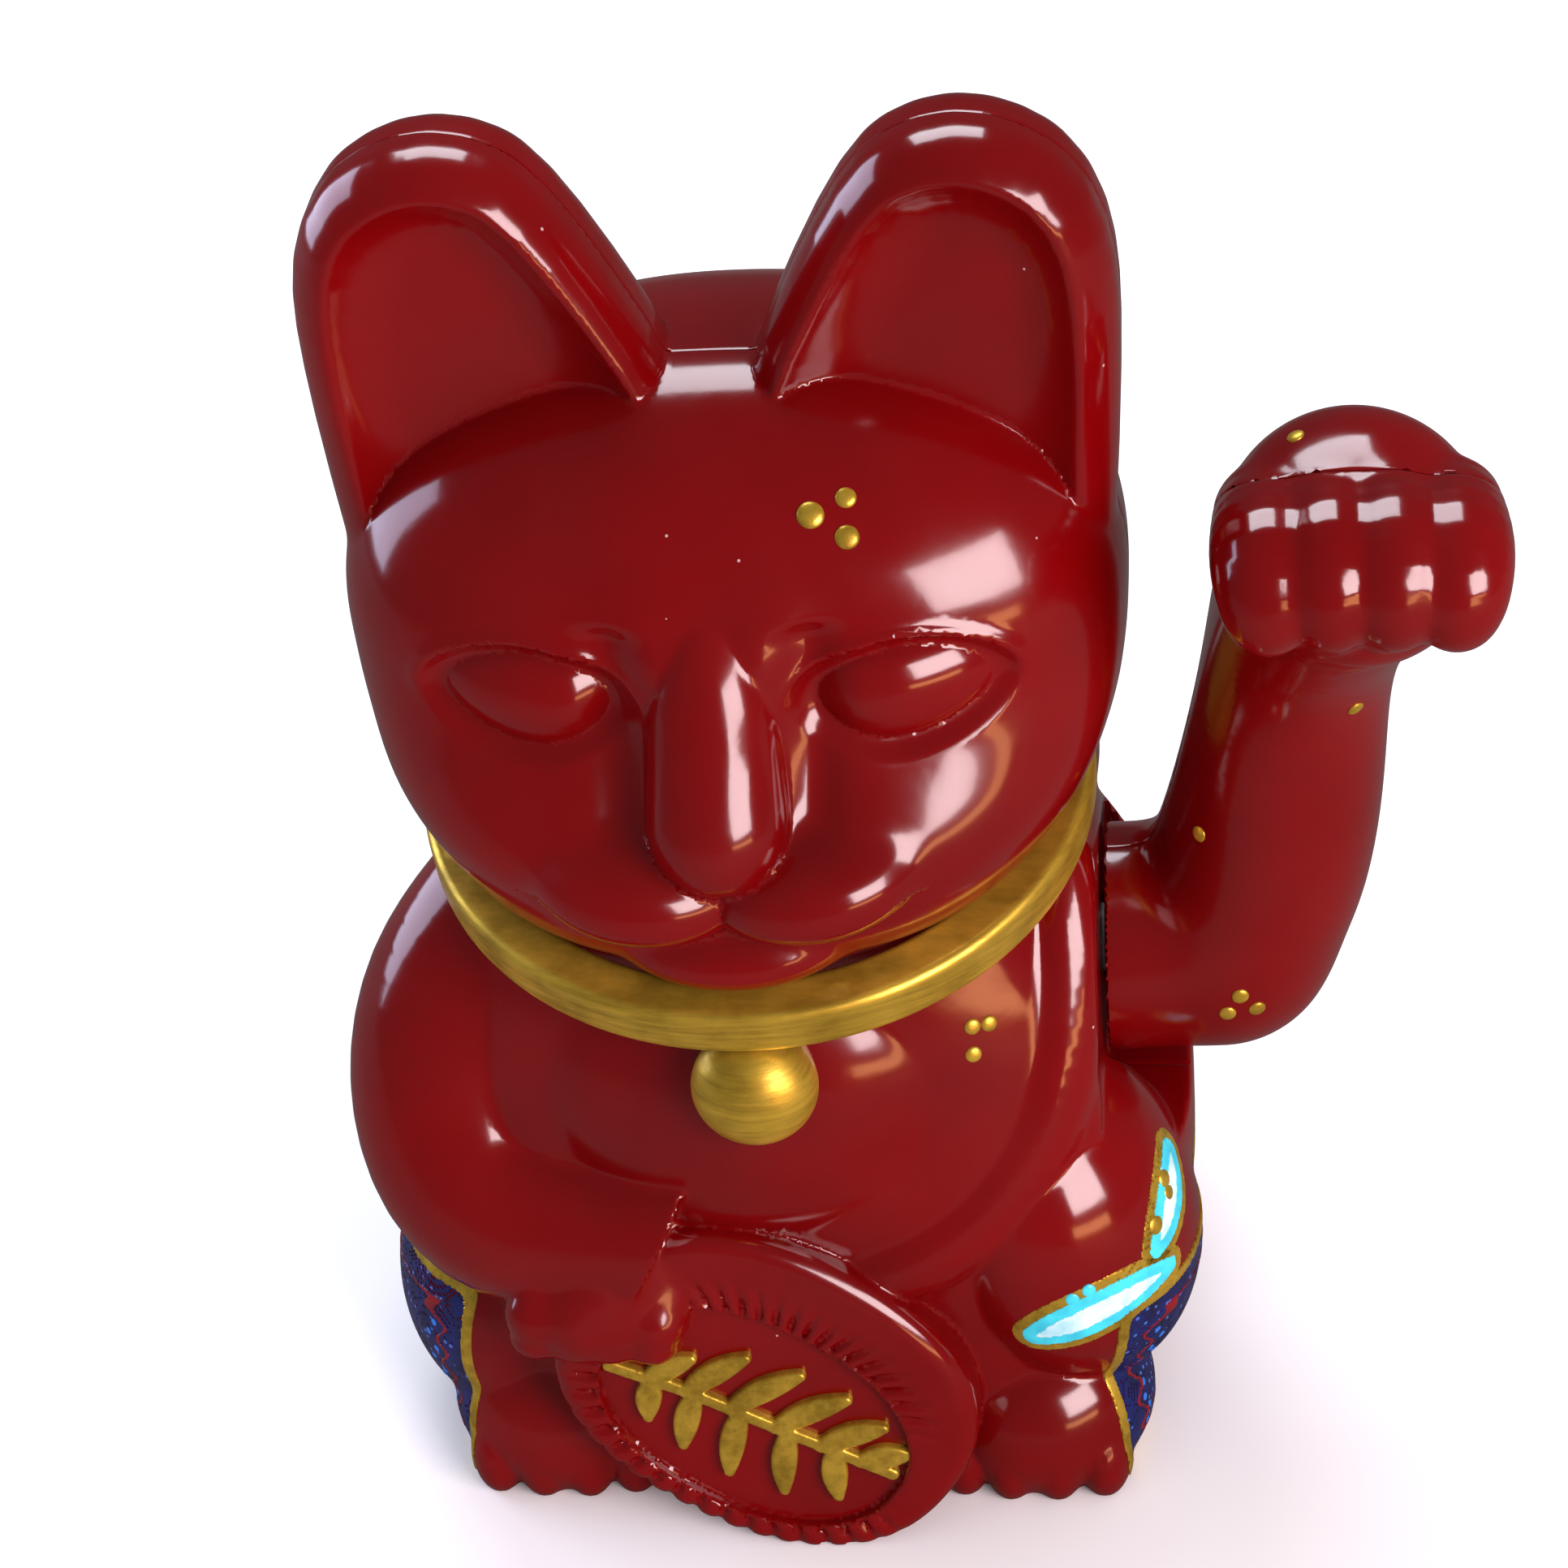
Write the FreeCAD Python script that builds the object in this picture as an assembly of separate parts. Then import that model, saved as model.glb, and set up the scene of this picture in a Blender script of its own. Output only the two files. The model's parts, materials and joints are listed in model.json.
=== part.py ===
"""Beckoning cat figurine: a moulded two-half cat with one arm that waves on a magnet pendulum over a coil.

Frame: millimetres, +Z up, the cat faces -Y, its waving arm is on the +X side.
The origin is on the underside of the base plate, at the middle of the base.
"""
import FreeCAD
import Part
import math
import os

V = FreeCAD.Vector
X_AXIS, Y_AXIS, Z_AXIS = V(1, 0, 0), V(0, 1, 0), V(0, 0, 1)

# ---------------------------------------------------------------- driving sizes of the moulded cat
WALL = 2.0                # body shell wall
ARM_WALL = 1.3            # arm shell wall
PART_Y = -4.0             # parting plane between the front and rear mouldings
FIT = 0.2                 # gap all round a part that drops into an opening
BODY_TOP = 126.4          # top of the head between the ears
RING = 56                 # control points round one body section
LIMB_ANGLES = [math.radians(18 * k + 27) for k in range(20)]

# (height, half width, front y, back y): the cat's sections from the base to the crown
SECTIONS = [
    (0.0, 35.5, -33.0, 36.0), (4.0, 37.6, -34.0, 37.4), (11.0, 41.0, -34.6, 38.5), (20.0, 44.2, -35.0, 40.5),
    (29.0, 45.4, -35.6, 41.0), (38.0, 44.6, -36.2, 39.6), (48.0, 42.0, -36.4, 36.6), (56.0, 38.0, -35.0, 32.0),
    (62.0, 33.4, -32.2, 28.2), (67.0, 29.2, -28.6, 25.6), (71.0, 28.4, -27.6, 24.8), (75.0, 30.6, -30.0, 25.4),
    (80.0, 33.8, -33.0, 27.0), (88.0, 36.8, -34.0, 29.4), (97.0, 38.0, -33.0, 30.4), (106.0, 37.6, -30.6, 29.0),
    (113.0, 35.0, -27.0, 26.0), (119.0, 29.6, -21.0, 21.2), (123.0, 21.0, -15.6, 15.6), (125.6, 10.0, -9.0, 6.0),
]
BODY_SQUARENESS = 3.2     # superellipse power of the base, which is nearly a rounded square
HEAD_SQUARENESS = 2.2
NECK_Z = 69.0             # height of the narrowest section
CROWN_HALF = 3.0          # half width of the flat crown

# ears: outline of the +X ear seen from the front (x, z), and its rows of (y, inset)
EAR_OUTLINE = [
    (1.6, 120.0), (6.6, 129.5), (10.6, 138.5), (15.4, 147.0), (23.0, 150.2), (31.4, 148.0), (37.4, 141.0),
    (38.8, 130.5), (37.6, 118.0), (37.0, 106.0), (32.0, 98.0), (19.0, 103.0), (8.0, 111.0),
]
EAR_CENTRE = (21.5, 127.0)
EAR_BACK, EAR_FRONT = 4.6, -12.6
EAR_HOLLOW_Y = -7.4       # floor of the hollow in front of the ear

# waving arm
PIVOT_Y, PIVOT_Z = 0.0, 50.0
NOTCH_X = 34.0            # flat cheek that the arm's root turns against
NOTCH_LEDGE_Z = 35.4      # ledge under the arm's root
NOTCH_BACK_Y = 18.0
ARM_GAP = 0.5             # between the cheek and the arm's root
# (x, y, z, radius, flattening along the walk's second axis) down the arm's middle
ARM_WALK = [
    (46.8, 0.0, 49.0, 11.4), (48.4, 0.0, 53.0, 12.1), (51.6, -0.1, 60.0, 12.0), (54.2, -0.4, 69.0, 11.3),
    (55.5, -1.0, 80.0, 10.4), (56.3, -2.6, 91.0, 10.3), (57.6, -6.4, 101.6, 11.6), (58.8, -12.4, 107.6, 12.8),
    (59.2, -19.0, 108.4, 12.7), (59.3, -24.6, 106.8, 11.0), (59.3, -28.4, 105.0, 7.6), (59.3, -30.0, 104.0, 3.0),
]
ARM_ELBOW_X = 47.2        # middle of the round elbow at the root's end
ARM_ROOT_R = 12.4
ARM_SEAM_LOW_Z, ARM_SEAM_TOP = 94.0, (-19.0, 124.0)

# coin, collar, bell, paws
COIN_CENTRE = V(-1.7, -38.4, 19.6)
COIN_LONG, COIN_SHORT = 22.9, 18.0
COIN_THICK = 7.0
COIN_TURN, COIN_LEAN = 35.0, 9.0
COIN_FIELD = 0.76         # the sunk field as a share of the coin
COIN_SINK = 1.6           # depth of the field below the rim
COLLAR_TILT = 10.0
BELL_R = 6.3
BELL_CENTRE = V(0.0, -34.6, 60.6)

# ---------------------------------------------------------------- driving sizes of the works
PLATE_T = 2.0
SCREW_R, SCREW_HEAD_R, SCREW_HEAD_T = 1.0, 2.2, 1.0
SCREW_LENGTH = 9.0        # of the screws up through the floor
SCREW_SINK = 0.4          # depth of a screw head below the floor's face
PAD_T = 1.2               # thickening of the floor round a screw
BOSS_R = 3.0
SHELL_BOSSES = [(-28.0, -14.0), (27.6, -20.6), (-28.0, 14.0), (26.5, 22.0)]
BOSS_TOP = 13.0
FRAME_FEET = [(-0.8, -11.0), (-0.8, 11.0), (29.0, -8.0), (29.0, 8.0)]
BOARD_SCREW_R = 0.8
BOARD_SCREWS = [(8.4, -14.4), (19.6, 14.4)]

CELL_R, CELL_LENGTH = 7.1, 49.2      # AA cell's can
CELL_CAP_R, CELL_CAP_T = 2.75, 1.2
CELL_X = -13.0
TRAY_Y = 1.0              # middle of the tray, front to back
TRAY_HALF_X, TRAY_HALF_Y = 7.6, 27.0
TRAY_WALL = 1.2
CELL_Z = 2.5 + CELL_R
TRAY_TOP = CELL_Z + CELL_R + 0.8
CELL_START_Y = TRAY_Y - TRAY_HALF_Y + 2.8
CONTACT_T = 0.4
TAB_TOP = TRAY_TOP + 3.0  # top of a contact's solder tab
DOOR_T = 1.8
DOOR_LIFT = 0.2           # the door's face above the floor
HINGE_X, HINGE_Z = CELL_X + TRAY_HALF_X - 2.2, 1.9
HINGE_BARREL_R, HINGE_PIN_R, HINGE_PIN_FIT = 1.6, 0.7, 0.08

FRAME_X0, FRAME_X1 = 4.0, 24.0       # inner faces of the frame's cheeks
CHEEK_T = 2.5
CHEEK_FOOT_Y, CHEEK_TOP_Y = 17.6, 8.5
FRAME_TOP = 59.0
LEG_X = (FRAME_X0 + FRAME_X1) / 2
LEG_WIDTH, LEG_T = 6.0, 4.0
MAGNET_R, MAGNET_T = 6.0, 5.0
MAGNET_BOTTOM = 14.4
CUP_WALL = 1.0
WEIGHT_Z = 30.0           # middle of the counterweight
WEIGHT_HALF_X, WEIGHT_HALF_Z, WEIGHT_BACK_Y = 7.6, 6.2, 7.8
PIN_R, PIN_FIT = 1.0, 0.04
NECK_R, NECK_FIT = 3.6, 0.05
SOCKET_R, STUB_R, STUB_FIT = 4.6, 2.5, 0.02
STUB_FLAT = 1.7           # height of the flat that keys the arm to the lever
SOCKET_END_X = 43.6       # inner end of the arm's socket

BOARD_T, BOARD_Z = 1.6, 4.2
BOARD_HALF_Y = 17.0
BOBBIN_R, BOBBIN_CORE_R, BOBBIN_T, FLANGE_T = 9.0, 3.0, 6.6, 0.9
SWITCH_X, SWITCH_Y = 14.0, 23.6
SWITCH_TRAVEL = 2.5
KNOB = 2.6
CHIP, CAPACITOR, RESISTOR = (10.6, 12.4), (18.4, -12.4), (14.0, -13.4)
LEAD_R = 0.55


# ---------------------------------------------------------------- helpers
def box(x0, x1, y0, y1, z0, z1):
    """A block between two corners."""
    return Part.makeBox(x1 - x0, y1 - y0, z1 - z0, V(x0, y0, z0))


def rod(radius, start, end):
    """A round bar from one point to another."""
    return Part.makeCylinder(radius, (end - start).Length, start, end - start)


def net_solid(rows):
    """A closed solid with a smooth skin over rings of control points, with flat ends."""
    count, height = len(rows[0]), len(rows)
    poles = [[rows[j][i] for j in range(height)] for i in range(count)]
    skin = Part.BSplineSurface()
    inner = height - 3
    skin.buildFromPolesMultsKnots(
        poles, [1] * (count + 1), [4] + [1] * (inner - 1) + [4],
        list(range(count + 1)), list(range(inner + 1)), True, False, 3, 3)
    side = skin.toShape()
    ends = [e for e in side.Edges if e.isClosed() and not e.isSeam(side)]
    caps = [Part.Face(Part.Wire([Part.Edge(e.Curve)])) for e in ends]
    shell = Part.makeShell([side] + caps)
    shell.sewShape()
    solid = Part.makeSolid(shell)
    if solid.Volume < 0:
        solid.reverse()
    return solid


def ease(values, z):
    """Smooth interpolation of the section table at height z, column by column."""
    if z <= values[0][0]:
        return values[0][1:]
    for low, high in zip(values, values[1:]):
        if z <= high[0]:
            t = (z - low[0]) / (high[0] - low[0])
            return tuple(a + (b - a) * t for a, b in zip(low[1:], high[1:]))
    return values[-1][1:]


def face_relief(angle, z):
    """How far the nose and muzzle stand out of the plain head, at an angle from straight ahead in degrees."""
    nose = 4.6 * math.exp(-(angle / 7.5) ** 2) * math.exp(-((z - 88.0) / 6.5) ** 2)
    muzzle = 2.8 * math.exp(-((abs(angle) - 11.0) / 11.0) ** 2) * math.exp(-((z - 80.0) / 4.5) ** 2)
    eyes = -1.2 * math.exp(-((abs(angle) - 31.0) / 9.0) ** 2) * math.exp(-((z - 101.0) / 5.0) ** 2)
    return nose + muzzle + eyes


def body_ring(z, inset, section=None):
    """One ring of control points round the body at height z, moved inwards by inset."""
    half, front, back = section or ease(SECTIONS, z)
    blend = 1 / (1 + math.exp(-(z - NECK_Z) / 4.0))
    power = BODY_SQUARENESS + (HEAD_SQUARENESS - BODY_SQUARENESS) * blend
    ring = []
    for i in range(RING):
        a = 2 * math.pi * (i + 0.5) / RING
        c, s = math.cos(a), math.sin(a)
        depth = (PART_Y - front) if s < 0 else (back - PART_Y)
        r = ((abs(c) / half) ** power + (abs(s) / depth) ** power) ** (-1 / power)
        ahead = math.degrees(math.atan2(c, -s))
        r += face_relief(ahead, z) - inset
        ring.append(V(r * c, PART_Y + r * s, z))
    return ring


def body_solid(inset, bottom):
    """The cat's torso and head as one smooth solid, inset from its outer skin."""
    rows = []
    if inset:
        rows.append(body_ring(bottom, inset, SECTIONS[0][1:]))
    for z, half, front, back in SECTIONS:
        top = BODY_TOP - inset
        rows.append(body_ring(z * top / BODY_TOP if z > NECK_Z else z, inset, (half, front, back)))
    crown = [V(p.x, p.y, BODY_TOP - inset) for p in body_ring(BODY_TOP, 0, (CROWN_HALF * 2.4, -9.0, 5.0))]
    middle = [V(p.x * 0.4, PART_Y + (p.y - PART_Y) * 0.4, BODY_TOP - inset) for p in crown]
    rows += [crown, middle]
    return net_solid(rows)


def ear_ring(y, inset, side):
    """One ring of an ear's outline at depth y, drawn towards the ear's middle by inset."""
    ring = []
    for x, z in EAR_OUTLINE:
        dx, dz = x - EAR_CENTRE[0], z - EAR_CENTRE[1]
        keep = max(0.08, 1 - inset / math.hypot(dx, dz))
        ring.append(V(side * (EAR_CENTRE[0] + dx * keep), y, EAR_CENTRE[1] + dz * keep))
    return ring


def ear_solid(side):
    """One ear, with the hollow in its front."""
    rows = [(EAR_BACK, 9.0), (EAR_BACK, 6.0), (EAR_BACK - 0.8, 2.6), (EAR_BACK - 3.6, 0.4), (PART_Y - 1.0, 0.0),
            (EAR_FRONT + 3.6, 0.3), (EAR_FRONT + 0.8, 1.6), (EAR_FRONT, 3.6), (EAR_FRONT + 1.2, 6.0),
            (EAR_HOLLOW_Y - 1.0, 9.0), (EAR_HOLLOW_Y, 12.0), (EAR_HOLLOW_Y, 15.0)]
    return net_solid([ear_ring(y, inset, side) for y, inset in rows])


def ear_cavity(side):
    """The hollow inside one ear, which opens into the head."""
    rear, fore = EAR_BACK - WALL, EAR_HOLLOW_Y + WALL
    rows = [(rear, 11.0), (rear, 8.0), (rear - 0.8, 4.6), (rear - 3.0, 2.6), (fore + 0.6, WALL + 0.2),
            (fore, WALL + 1.2), (fore, 6.0), (fore, 11.0)]
    return net_solid([ear_ring(y, inset, side) for y, inset in rows])


def limb(walk, rows=()):
    """A smooth round limb along (x, y, z, radius) points, after any rings given for its root."""
    points = [V(*p[:3]) for p in walk]
    rows = list(rows)
    side = Y_AXIS
    for i, step in enumerate(walk):
        along = points[min(i + 1, len(points) - 1)] - points[max(i - 1, 0)]
        along.normalize()
        side = side - along * side.dot(along)
        side.normalize()
        up = along.cross(side)
        rows.append([points[i] + (side * math.sin(a) + up * math.cos(a)) * step[3] for a in LIMB_ANGLES])
    return net_solid(rows)


def shrunk(walk, inset):
    """A limb's walk with every radius reduced by inset."""
    return [(x, y, z, max(r - inset, r * 0.5)) for x, y, z, r in walk]


def ellipsoid(centre, rx, ry, rz):
    """A solid ellipsoid."""
    ball = Part.makeSphere(1.0)
    m = FreeCAD.Matrix()
    m.scale(V(rx, ry, rz))
    m.move(centre)
    return ball.transformGeometry(m)


def turned(shape, angle, axis, centre):
    """A copy turned about an axis through a point."""
    copy = shape.copy()
    copy.rotate(centre, axis, angle)
    return copy


def extruded(points, x0, x1):
    """A prism along X over an outline of (y, z) corners."""
    wire = Part.makePolygon([V(x0, y, z) for y, z in points + points[:1]])
    return Part.Face(wire).extrude(V(x1 - x0, 0, 0))


def lead(points, radius=LEAD_R):
    """An insulated wire through a list of (x, y, z) points."""
    path = [V(*p) for p in points]
    parts = [rod(radius, a, b) for a, b in zip(path, path[1:])]
    parts += [Part.makeSphere(radius, p) for p in path[1:-1]]
    return parts[0].fuse(parts[1:]).removeSplitter()


def screw(centre, length, direction=Z_AXIS, head_r=SCREW_HEAD_R):
    """A pan-head screw whose head starts at centre and whose shank runs along direction."""
    head = rod(head_r, centre, centre + direction * SCREW_HEAD_T)
    shank = rod(SCREW_R, centre, centre + direction * (SCREW_HEAD_T + length))
    slot = box(-0.3, 0.3, -head_r * 0.7, head_r * 0.7, -1, 0.45)
    slot.Placement = FreeCAD.Placement(centre, FreeCAD.Rotation(Z_AXIS, direction))
    return head.fuse(shank).cut(slot)


# ---------------------------------------------------------------- moulded cat
def resting_arm(inset):
    """The cat's arm that hangs in front, from the shoulder to the paw on the coin."""
    walk = [(-20.0, -8.0, 62.0, 6.0), (-27.0, -13.0, 60.0, 9.4), (-33.0, -19.0, 52.0, 10.8),
            (-31.0, -25.0, 42.0, 10.5), (-26.0, -28.0, 34.0, 9.5), (-21.5, -31.0, 28.5, 8.6),
            (-19.0, -34.0, 25.0, 6.4), (-18.0, -35.4, 23.4, 2.6)]
    return limb(shrunk(walk, inset))


def foot(side, inset):
    """One front foot standing out of the base."""
    whole = ellipsoid(V(side * 27.0, -25.4, 7.0), 12.6 - inset, 11.6 - inset, 11.0 - inset)
    return whole.common(box(-60, 60, -60, 60, inset, 30))


def coin(share, thickness, shift):
    """The oval coin, or a smaller oval of the same thickness range on its axis."""
    disc = Part.makeCylinder(1.0, thickness, V(0, 0, shift))
    m = FreeCAD.Matrix()
    m.scale(V(COIN_LONG * share, COIN_SHORT * share, 1.0))
    disc = disc.transformGeometry(m)
    disc.rotate(V(0, 0, 0), Z_AXIS, COIN_TURN)
    disc.rotate(V(0, 0, 0), X_AXIS, -90 - COIN_LEAN)
    disc.translate(COIN_CENTRE)
    return disc.common(box(-60, 60, -60, 60, 0, 60))


def coin_emblem():
    """The sprig in relief on the coin's field: a stem with three pairs of leaves."""
    leaves = []
    for step in (-7.0, 0.0, 7.0):
        for side in (1, -1):
            leaf = ellipsoid(V(0, 0, 0), 4.0, 1.5, 0.8)
            leaf.rotate(V(0, 0, 0), Z_AXIS, side * 48)
            leaf.translate(V(step + 2.0, side * 3.4, 0))
            leaves.append(leaf)
    stem = box(-12, 11, -0.5, 0.5, -0.8, 0.8)
    sprig = stem.fuse(leaves)
    sprig.rotate(V(0, 0, 0), Z_AXIS, COIN_TURN)
    sprig.rotate(V(0, 0, 0), X_AXIS, -90 - COIN_LEAN)
    inward = V(0, math.cos(math.radians(COIN_LEAN)), -math.sin(math.radians(COIN_LEAN)))
    sprig.translate(COIN_CENTRE + inward * (COIN_SINK - 0.1))
    return sprig


def collar():
    """The collar: the neck's own skin moved outwards inside a tilted slab."""
    slab = box(-60, 60, -60, 60, -3.4, 3.4)
    slab.translate(V(0, 0, 73.0))
    slab.rotate(V(0, 0, 73.0), X_AXIS, COLLAR_TILT)
    return body_solid(-1.6, 0).common(slab)


def bell():
    """The round bell under the collar."""
    return turned(Part.makeSphere(BELL_R, BELL_CENTRE), 31, V(1, 1, 0), BELL_CENTRE)


def tail(inset):
    """The short tail lying against the back."""
    walk = [(-6.0, 36.0, 7.0, 3.0), (-10.0, 38.0, 9.0, 5.6), (-17.0, 37.6, 13.0, 6.4), (-22.0, 35.0, 20.0, 6.2),
            (-22.5, 33.0, 27.0, 5.2), (-22.0, 32.0, 30.0, 2.2)]
    return limb(shrunk(walk, inset))


def arm_notch(wall):
    """The space beside the body that the arm's root turns in, grown by a wall."""
    return box(NOTCH_X - wall, 80, -60, NOTCH_BACK_Y + wall, NOTCH_LEDGE_Z - wall, 70)


def outer_cat():
    """The cat's outside as one solid."""
    cat = body_solid(0, 0).fuse([ear_solid(1), ear_solid(-1)])
    cat = cat.fuse([foot(1, 0), foot(-1, 0), resting_arm(0), tail(0)])
    cat = cat.fuse([collar(), bell(), coin(1.0, COIN_THICK, 0)])
    return cat.cut([arm_notch(0), coin(COIN_FIELD, COIN_SINK, 0)]).fuse(coin_emblem())


def inner_cat():
    """The hollow inside the cat as one solid, open at the floor."""
    hollow = body_solid(WALL, -3.0).fuse([ear_cavity(1), ear_cavity(-1)])
    return hollow.fuse([foot(1, WALL), foot(-1, WALL), resting_arm(WALL)]).cut(arm_notch(WALL))


def boss(x, y):
    """A screw boss for the floor, ribbed to the shell's wall."""
    out = 1 if x > 0 else -1
    post = rod(BOSS_R, V(x, y, PLATE_T + PAD_T + 0.05), V(x, y, BOSS_TOP))
    far = x + out * 18
    rib = box(min(x, far), max(x, far), y - 0.8, y + 0.8, PLATE_T + PAD_T + 0.05, BOSS_TOP)
    return post.fuse(rib)


def moulded_shells():
    """The front and rear mouldings of the body."""
    outer, inner = outer_cat(), inner_cat()
    shell = outer.cut(inner)
    axle = rod(NECK_R + 0.6, V(NOTCH_X - 6, PIVOT_Y, PIVOT_Z), V(NOTCH_X + 2, PIVOT_Y, PIVOT_Z))
    shell = shell.cut(axle)
    trim = outer.common(box(-60, 60, -60, 60, 0, 40))
    halves = []
    for front in (True, False):
        side = box(-90, 90, -90, PART_Y, -10, 180) if front else box(-90, 90, PART_Y, 90, -10, 180)
        half = shell.common(side)
        bosses = [boss(x, y).common(trim) for x, y in SHELL_BOSSES if (y < PART_Y) == front]
        half = half.fuse(bosses)
        holes = [rod(SCREW_R, V(x, y, 0), V(x, y, SCREW_LENGTH + 1.6)) for x, y in SHELL_BOSSES]
        half = half.cut(holes)
        halves.append(largest(half))
    return halves


def largest(shape):
    """The biggest solid of a shape."""
    return max(shape.Solids, key=lambda s: s.Volume)


# ---------------------------------------------------------------- waving arm
def arm_body(x0, inset):
    """The waving arm's root, round elbow, forearm and curled paw, inset from the outside."""
    radius = ARM_ROOT_R - inset
    elbow = V(ARM_ELBOW_X, PIVOT_Y, PIVOT_Z)
    root = turned(rod(radius, V(x0, PIVOT_Y, PIVOT_Z), elbow), 27, X_AXIS, elbow)
    ball = turned(Part.makeSphere(radius, elbow), 31, V(1, 1, 0), elbow)
    return root.fuse([ball, limb(shrunk(ARM_WALK, inset))])


def arm_halves():
    """The two mouldings of the waving arm, parted along a bent line."""
    face = NOTCH_X + ARM_GAP
    outer = arm_body(face, 0)
    shell = outer.cut(arm_body(face + ARM_WALL, ARM_WALL))
    socket = rod(SOCKET_R, V(face, PIVOT_Y, PIVOT_Z), V(SOCKET_END_X, PIVOT_Y, PIVOT_Z))
    web = box(face + 0.6, SOCKET_END_X - 0.1, 0.6, ARM_ROOT_R - 0.4, PIVOT_Z - 0.8, PIVOT_Z + 0.8)
    line = [(-60, 30), (PIVOT_Y, 30), (PIVOT_Y, 60), (-1.2, 84), (-3.4, ARM_SEAM_LOW_Z), ARM_SEAM_TOP, (-60, 124)]
    fore = extruded(line, 30, 90)
    bore = stub(STUB_FIT).fuse(rod(SCREW_R + 0.1, V(face, PIVOT_Y, PIVOT_Z), V(SOCKET_END_X + 1, PIVOT_Y, PIVOT_Z)))
    clear = rod(SOCKET_R + 0.05, V(face - 1, PIVOT_Y, PIVOT_Z), V(SOCKET_END_X + 0.05, PIVOT_Y, PIVOT_Z))
    front = largest(shell.common(fore).cut(clear))
    rear = largest(shell.cut(fore).fuse([socket, web.common(outer)]).cut(bore))
    return front, rear


def stub(grow=0.0):
    """The keyed end of the lever's neck that the arm is pushed onto, or the hole for it."""
    start = V(NOTCH_X + ARM_GAP - 0.3, PIVOT_Y, PIVOT_Z)
    end = V(SOCKET_END_X - 1.6, PIVOT_Y, PIVOT_Z)
    key = box(start.x - 1, end.x + 1, -10, 10, PIVOT_Z + STUB_FLAT + grow, PIVOT_Z + 10)
    return rod(STUB_R + grow, start, end).cut(key)


# ---------------------------------------------------------------- floor, tray and door
def plate_outline(inset, height):
    """The floor's outline, inset from the cat's bottom edge, as a slab."""
    ring = body_ring(0.0, inset, SECTIONS[0][1:])
    curve = Part.BSplineCurve()
    curve.interpolate([V(p.x, p.y, 0) for p in ring], PeriodicFlag=True)
    return Part.Face(Part.Wire([curve.toShape()])).extrude(V(0, 0, height))


def counterbored(x, y):
    """The hole for a screw from below."""
    head = rod(SCREW_HEAD_R + 0.15, V(x, y, -1), V(x, y, SCREW_SINK + SCREW_HEAD_T))
    return head.fuse(rod(SCREW_R + 0.1, V(x, y, 0), V(x, y, 6)))


def tray_walls():
    """The four walls of the battery tray."""
    out_x, out_y = TRAY_HALF_X + TRAY_WALL, TRAY_HALF_Y + TRAY_WALL
    block = box(CELL_X - out_x, CELL_X + out_x, TRAY_Y - out_y, TRAY_Y + out_y, 0, TRAY_TOP)
    return block.cut(box(CELL_X - TRAY_HALF_X, CELL_X + TRAY_HALF_X, TRAY_Y - TRAY_HALF_Y,
                         TRAY_Y + TRAY_HALF_Y, -1, TRAY_TOP + 1))


def base_plate():
    """The floor of the cat with tray, pads, board posts and the switch's slot."""
    plate = plate_outline(WALL + FIT, PLATE_T)
    mouth = box(CELL_X - TRAY_HALF_X, CELL_X + TRAY_HALF_X, TRAY_Y - TRAY_HALF_Y, TRAY_Y + TRAY_HALF_Y, -1, 9)
    plate = plate.cut(mouth).fuse(tray_walls())
    pads = [rod(BOSS_R, V(x, y, 0), V(x, y, PLATE_T + PAD_T)) for x, y in SHELL_BOSSES]
    feet = [rod(BOSS_R, V(x, y, 0), V(x, y, PLATE_T + PAD_T)) for x, y in FRAME_FEET]
    posts = [rod(2.2, V(x, y, 0), V(x, y, BOARD_Z)) for x, y in BOARD_SCREWS]
    plate = plate.fuse(pads + feet + posts)
    holes = [counterbored(x, y) for x, y in SHELL_BOSSES + FRAME_FEET]
    holes += [rod(BOARD_SCREW_R, V(x, y, 1.0), V(x, y, BOARD_Z + 1)) for x, y in BOARD_SCREWS]
    slot = box(SWITCH_X - KNOB / 2 - 0.35, SWITCH_X + SWITCH_TRAVEL + KNOB / 2 + 0.35,
               SWITCH_Y - KNOB / 2 - 0.35, SWITCH_Y + KNOB / 2 + 0.35, -1, 5)
    pins = [rod(HINGE_PIN_R + HINGE_PIN_FIT, V(HINGE_X, TRAY_Y - TRAY_HALF_Y - 1.6, HINGE_Z),
                V(HINGE_X, TRAY_Y + TRAY_HALF_Y + 1.6, HINGE_Z))]
    return plate.cut(holes + [slot] + pins)


def battery_door():
    """The tray's cover: a plate on a barrel whose end pins turn in the floor."""
    gap = 0.35
    y0, y1 = TRAY_Y - TRAY_HALF_Y + gap, TRAY_Y + TRAY_HALF_Y - gap
    plate = box(CELL_X - TRAY_HALF_X + gap, HINGE_X, y0, y1, DOOR_LIFT, DOOR_T)
    barrel = rod(HINGE_BARREL_R, V(HINGE_X, y0, HINGE_Z), V(HINGE_X, y1, HINGE_Z))
    pins = rod(HINGE_PIN_R, V(HINGE_X, y0 - gap - 1.3, HINGE_Z), V(HINGE_X, y1 + gap + 1.3, HINGE_Z))
    nail = rod(4.0, V(CELL_X - 4.2, TRAY_Y, DOOR_LIFT - 3.4), V(CELL_X - 4.2, TRAY_Y, DOOR_LIFT + 0.6))
    return plate.fuse([barrel, pins]).cut(nail)


def battery_cell():
    """One AA cell with its raised cap towards the back."""
    start = V(CELL_X, CELL_START_Y, CELL_Z)
    can = rod(CELL_R, start, start + Y_AXIS * CELL_LENGTH)
    can = can.makeFillet(0.6, [can.Edges[0], can.Edges[2]])
    cap = rod(CELL_CAP_R, start + Y_AXIS * CELL_LENGTH, start + Y_AXIS * (CELL_LENGTH + CELL_CAP_T))
    return can.fuse(cap)


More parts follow.
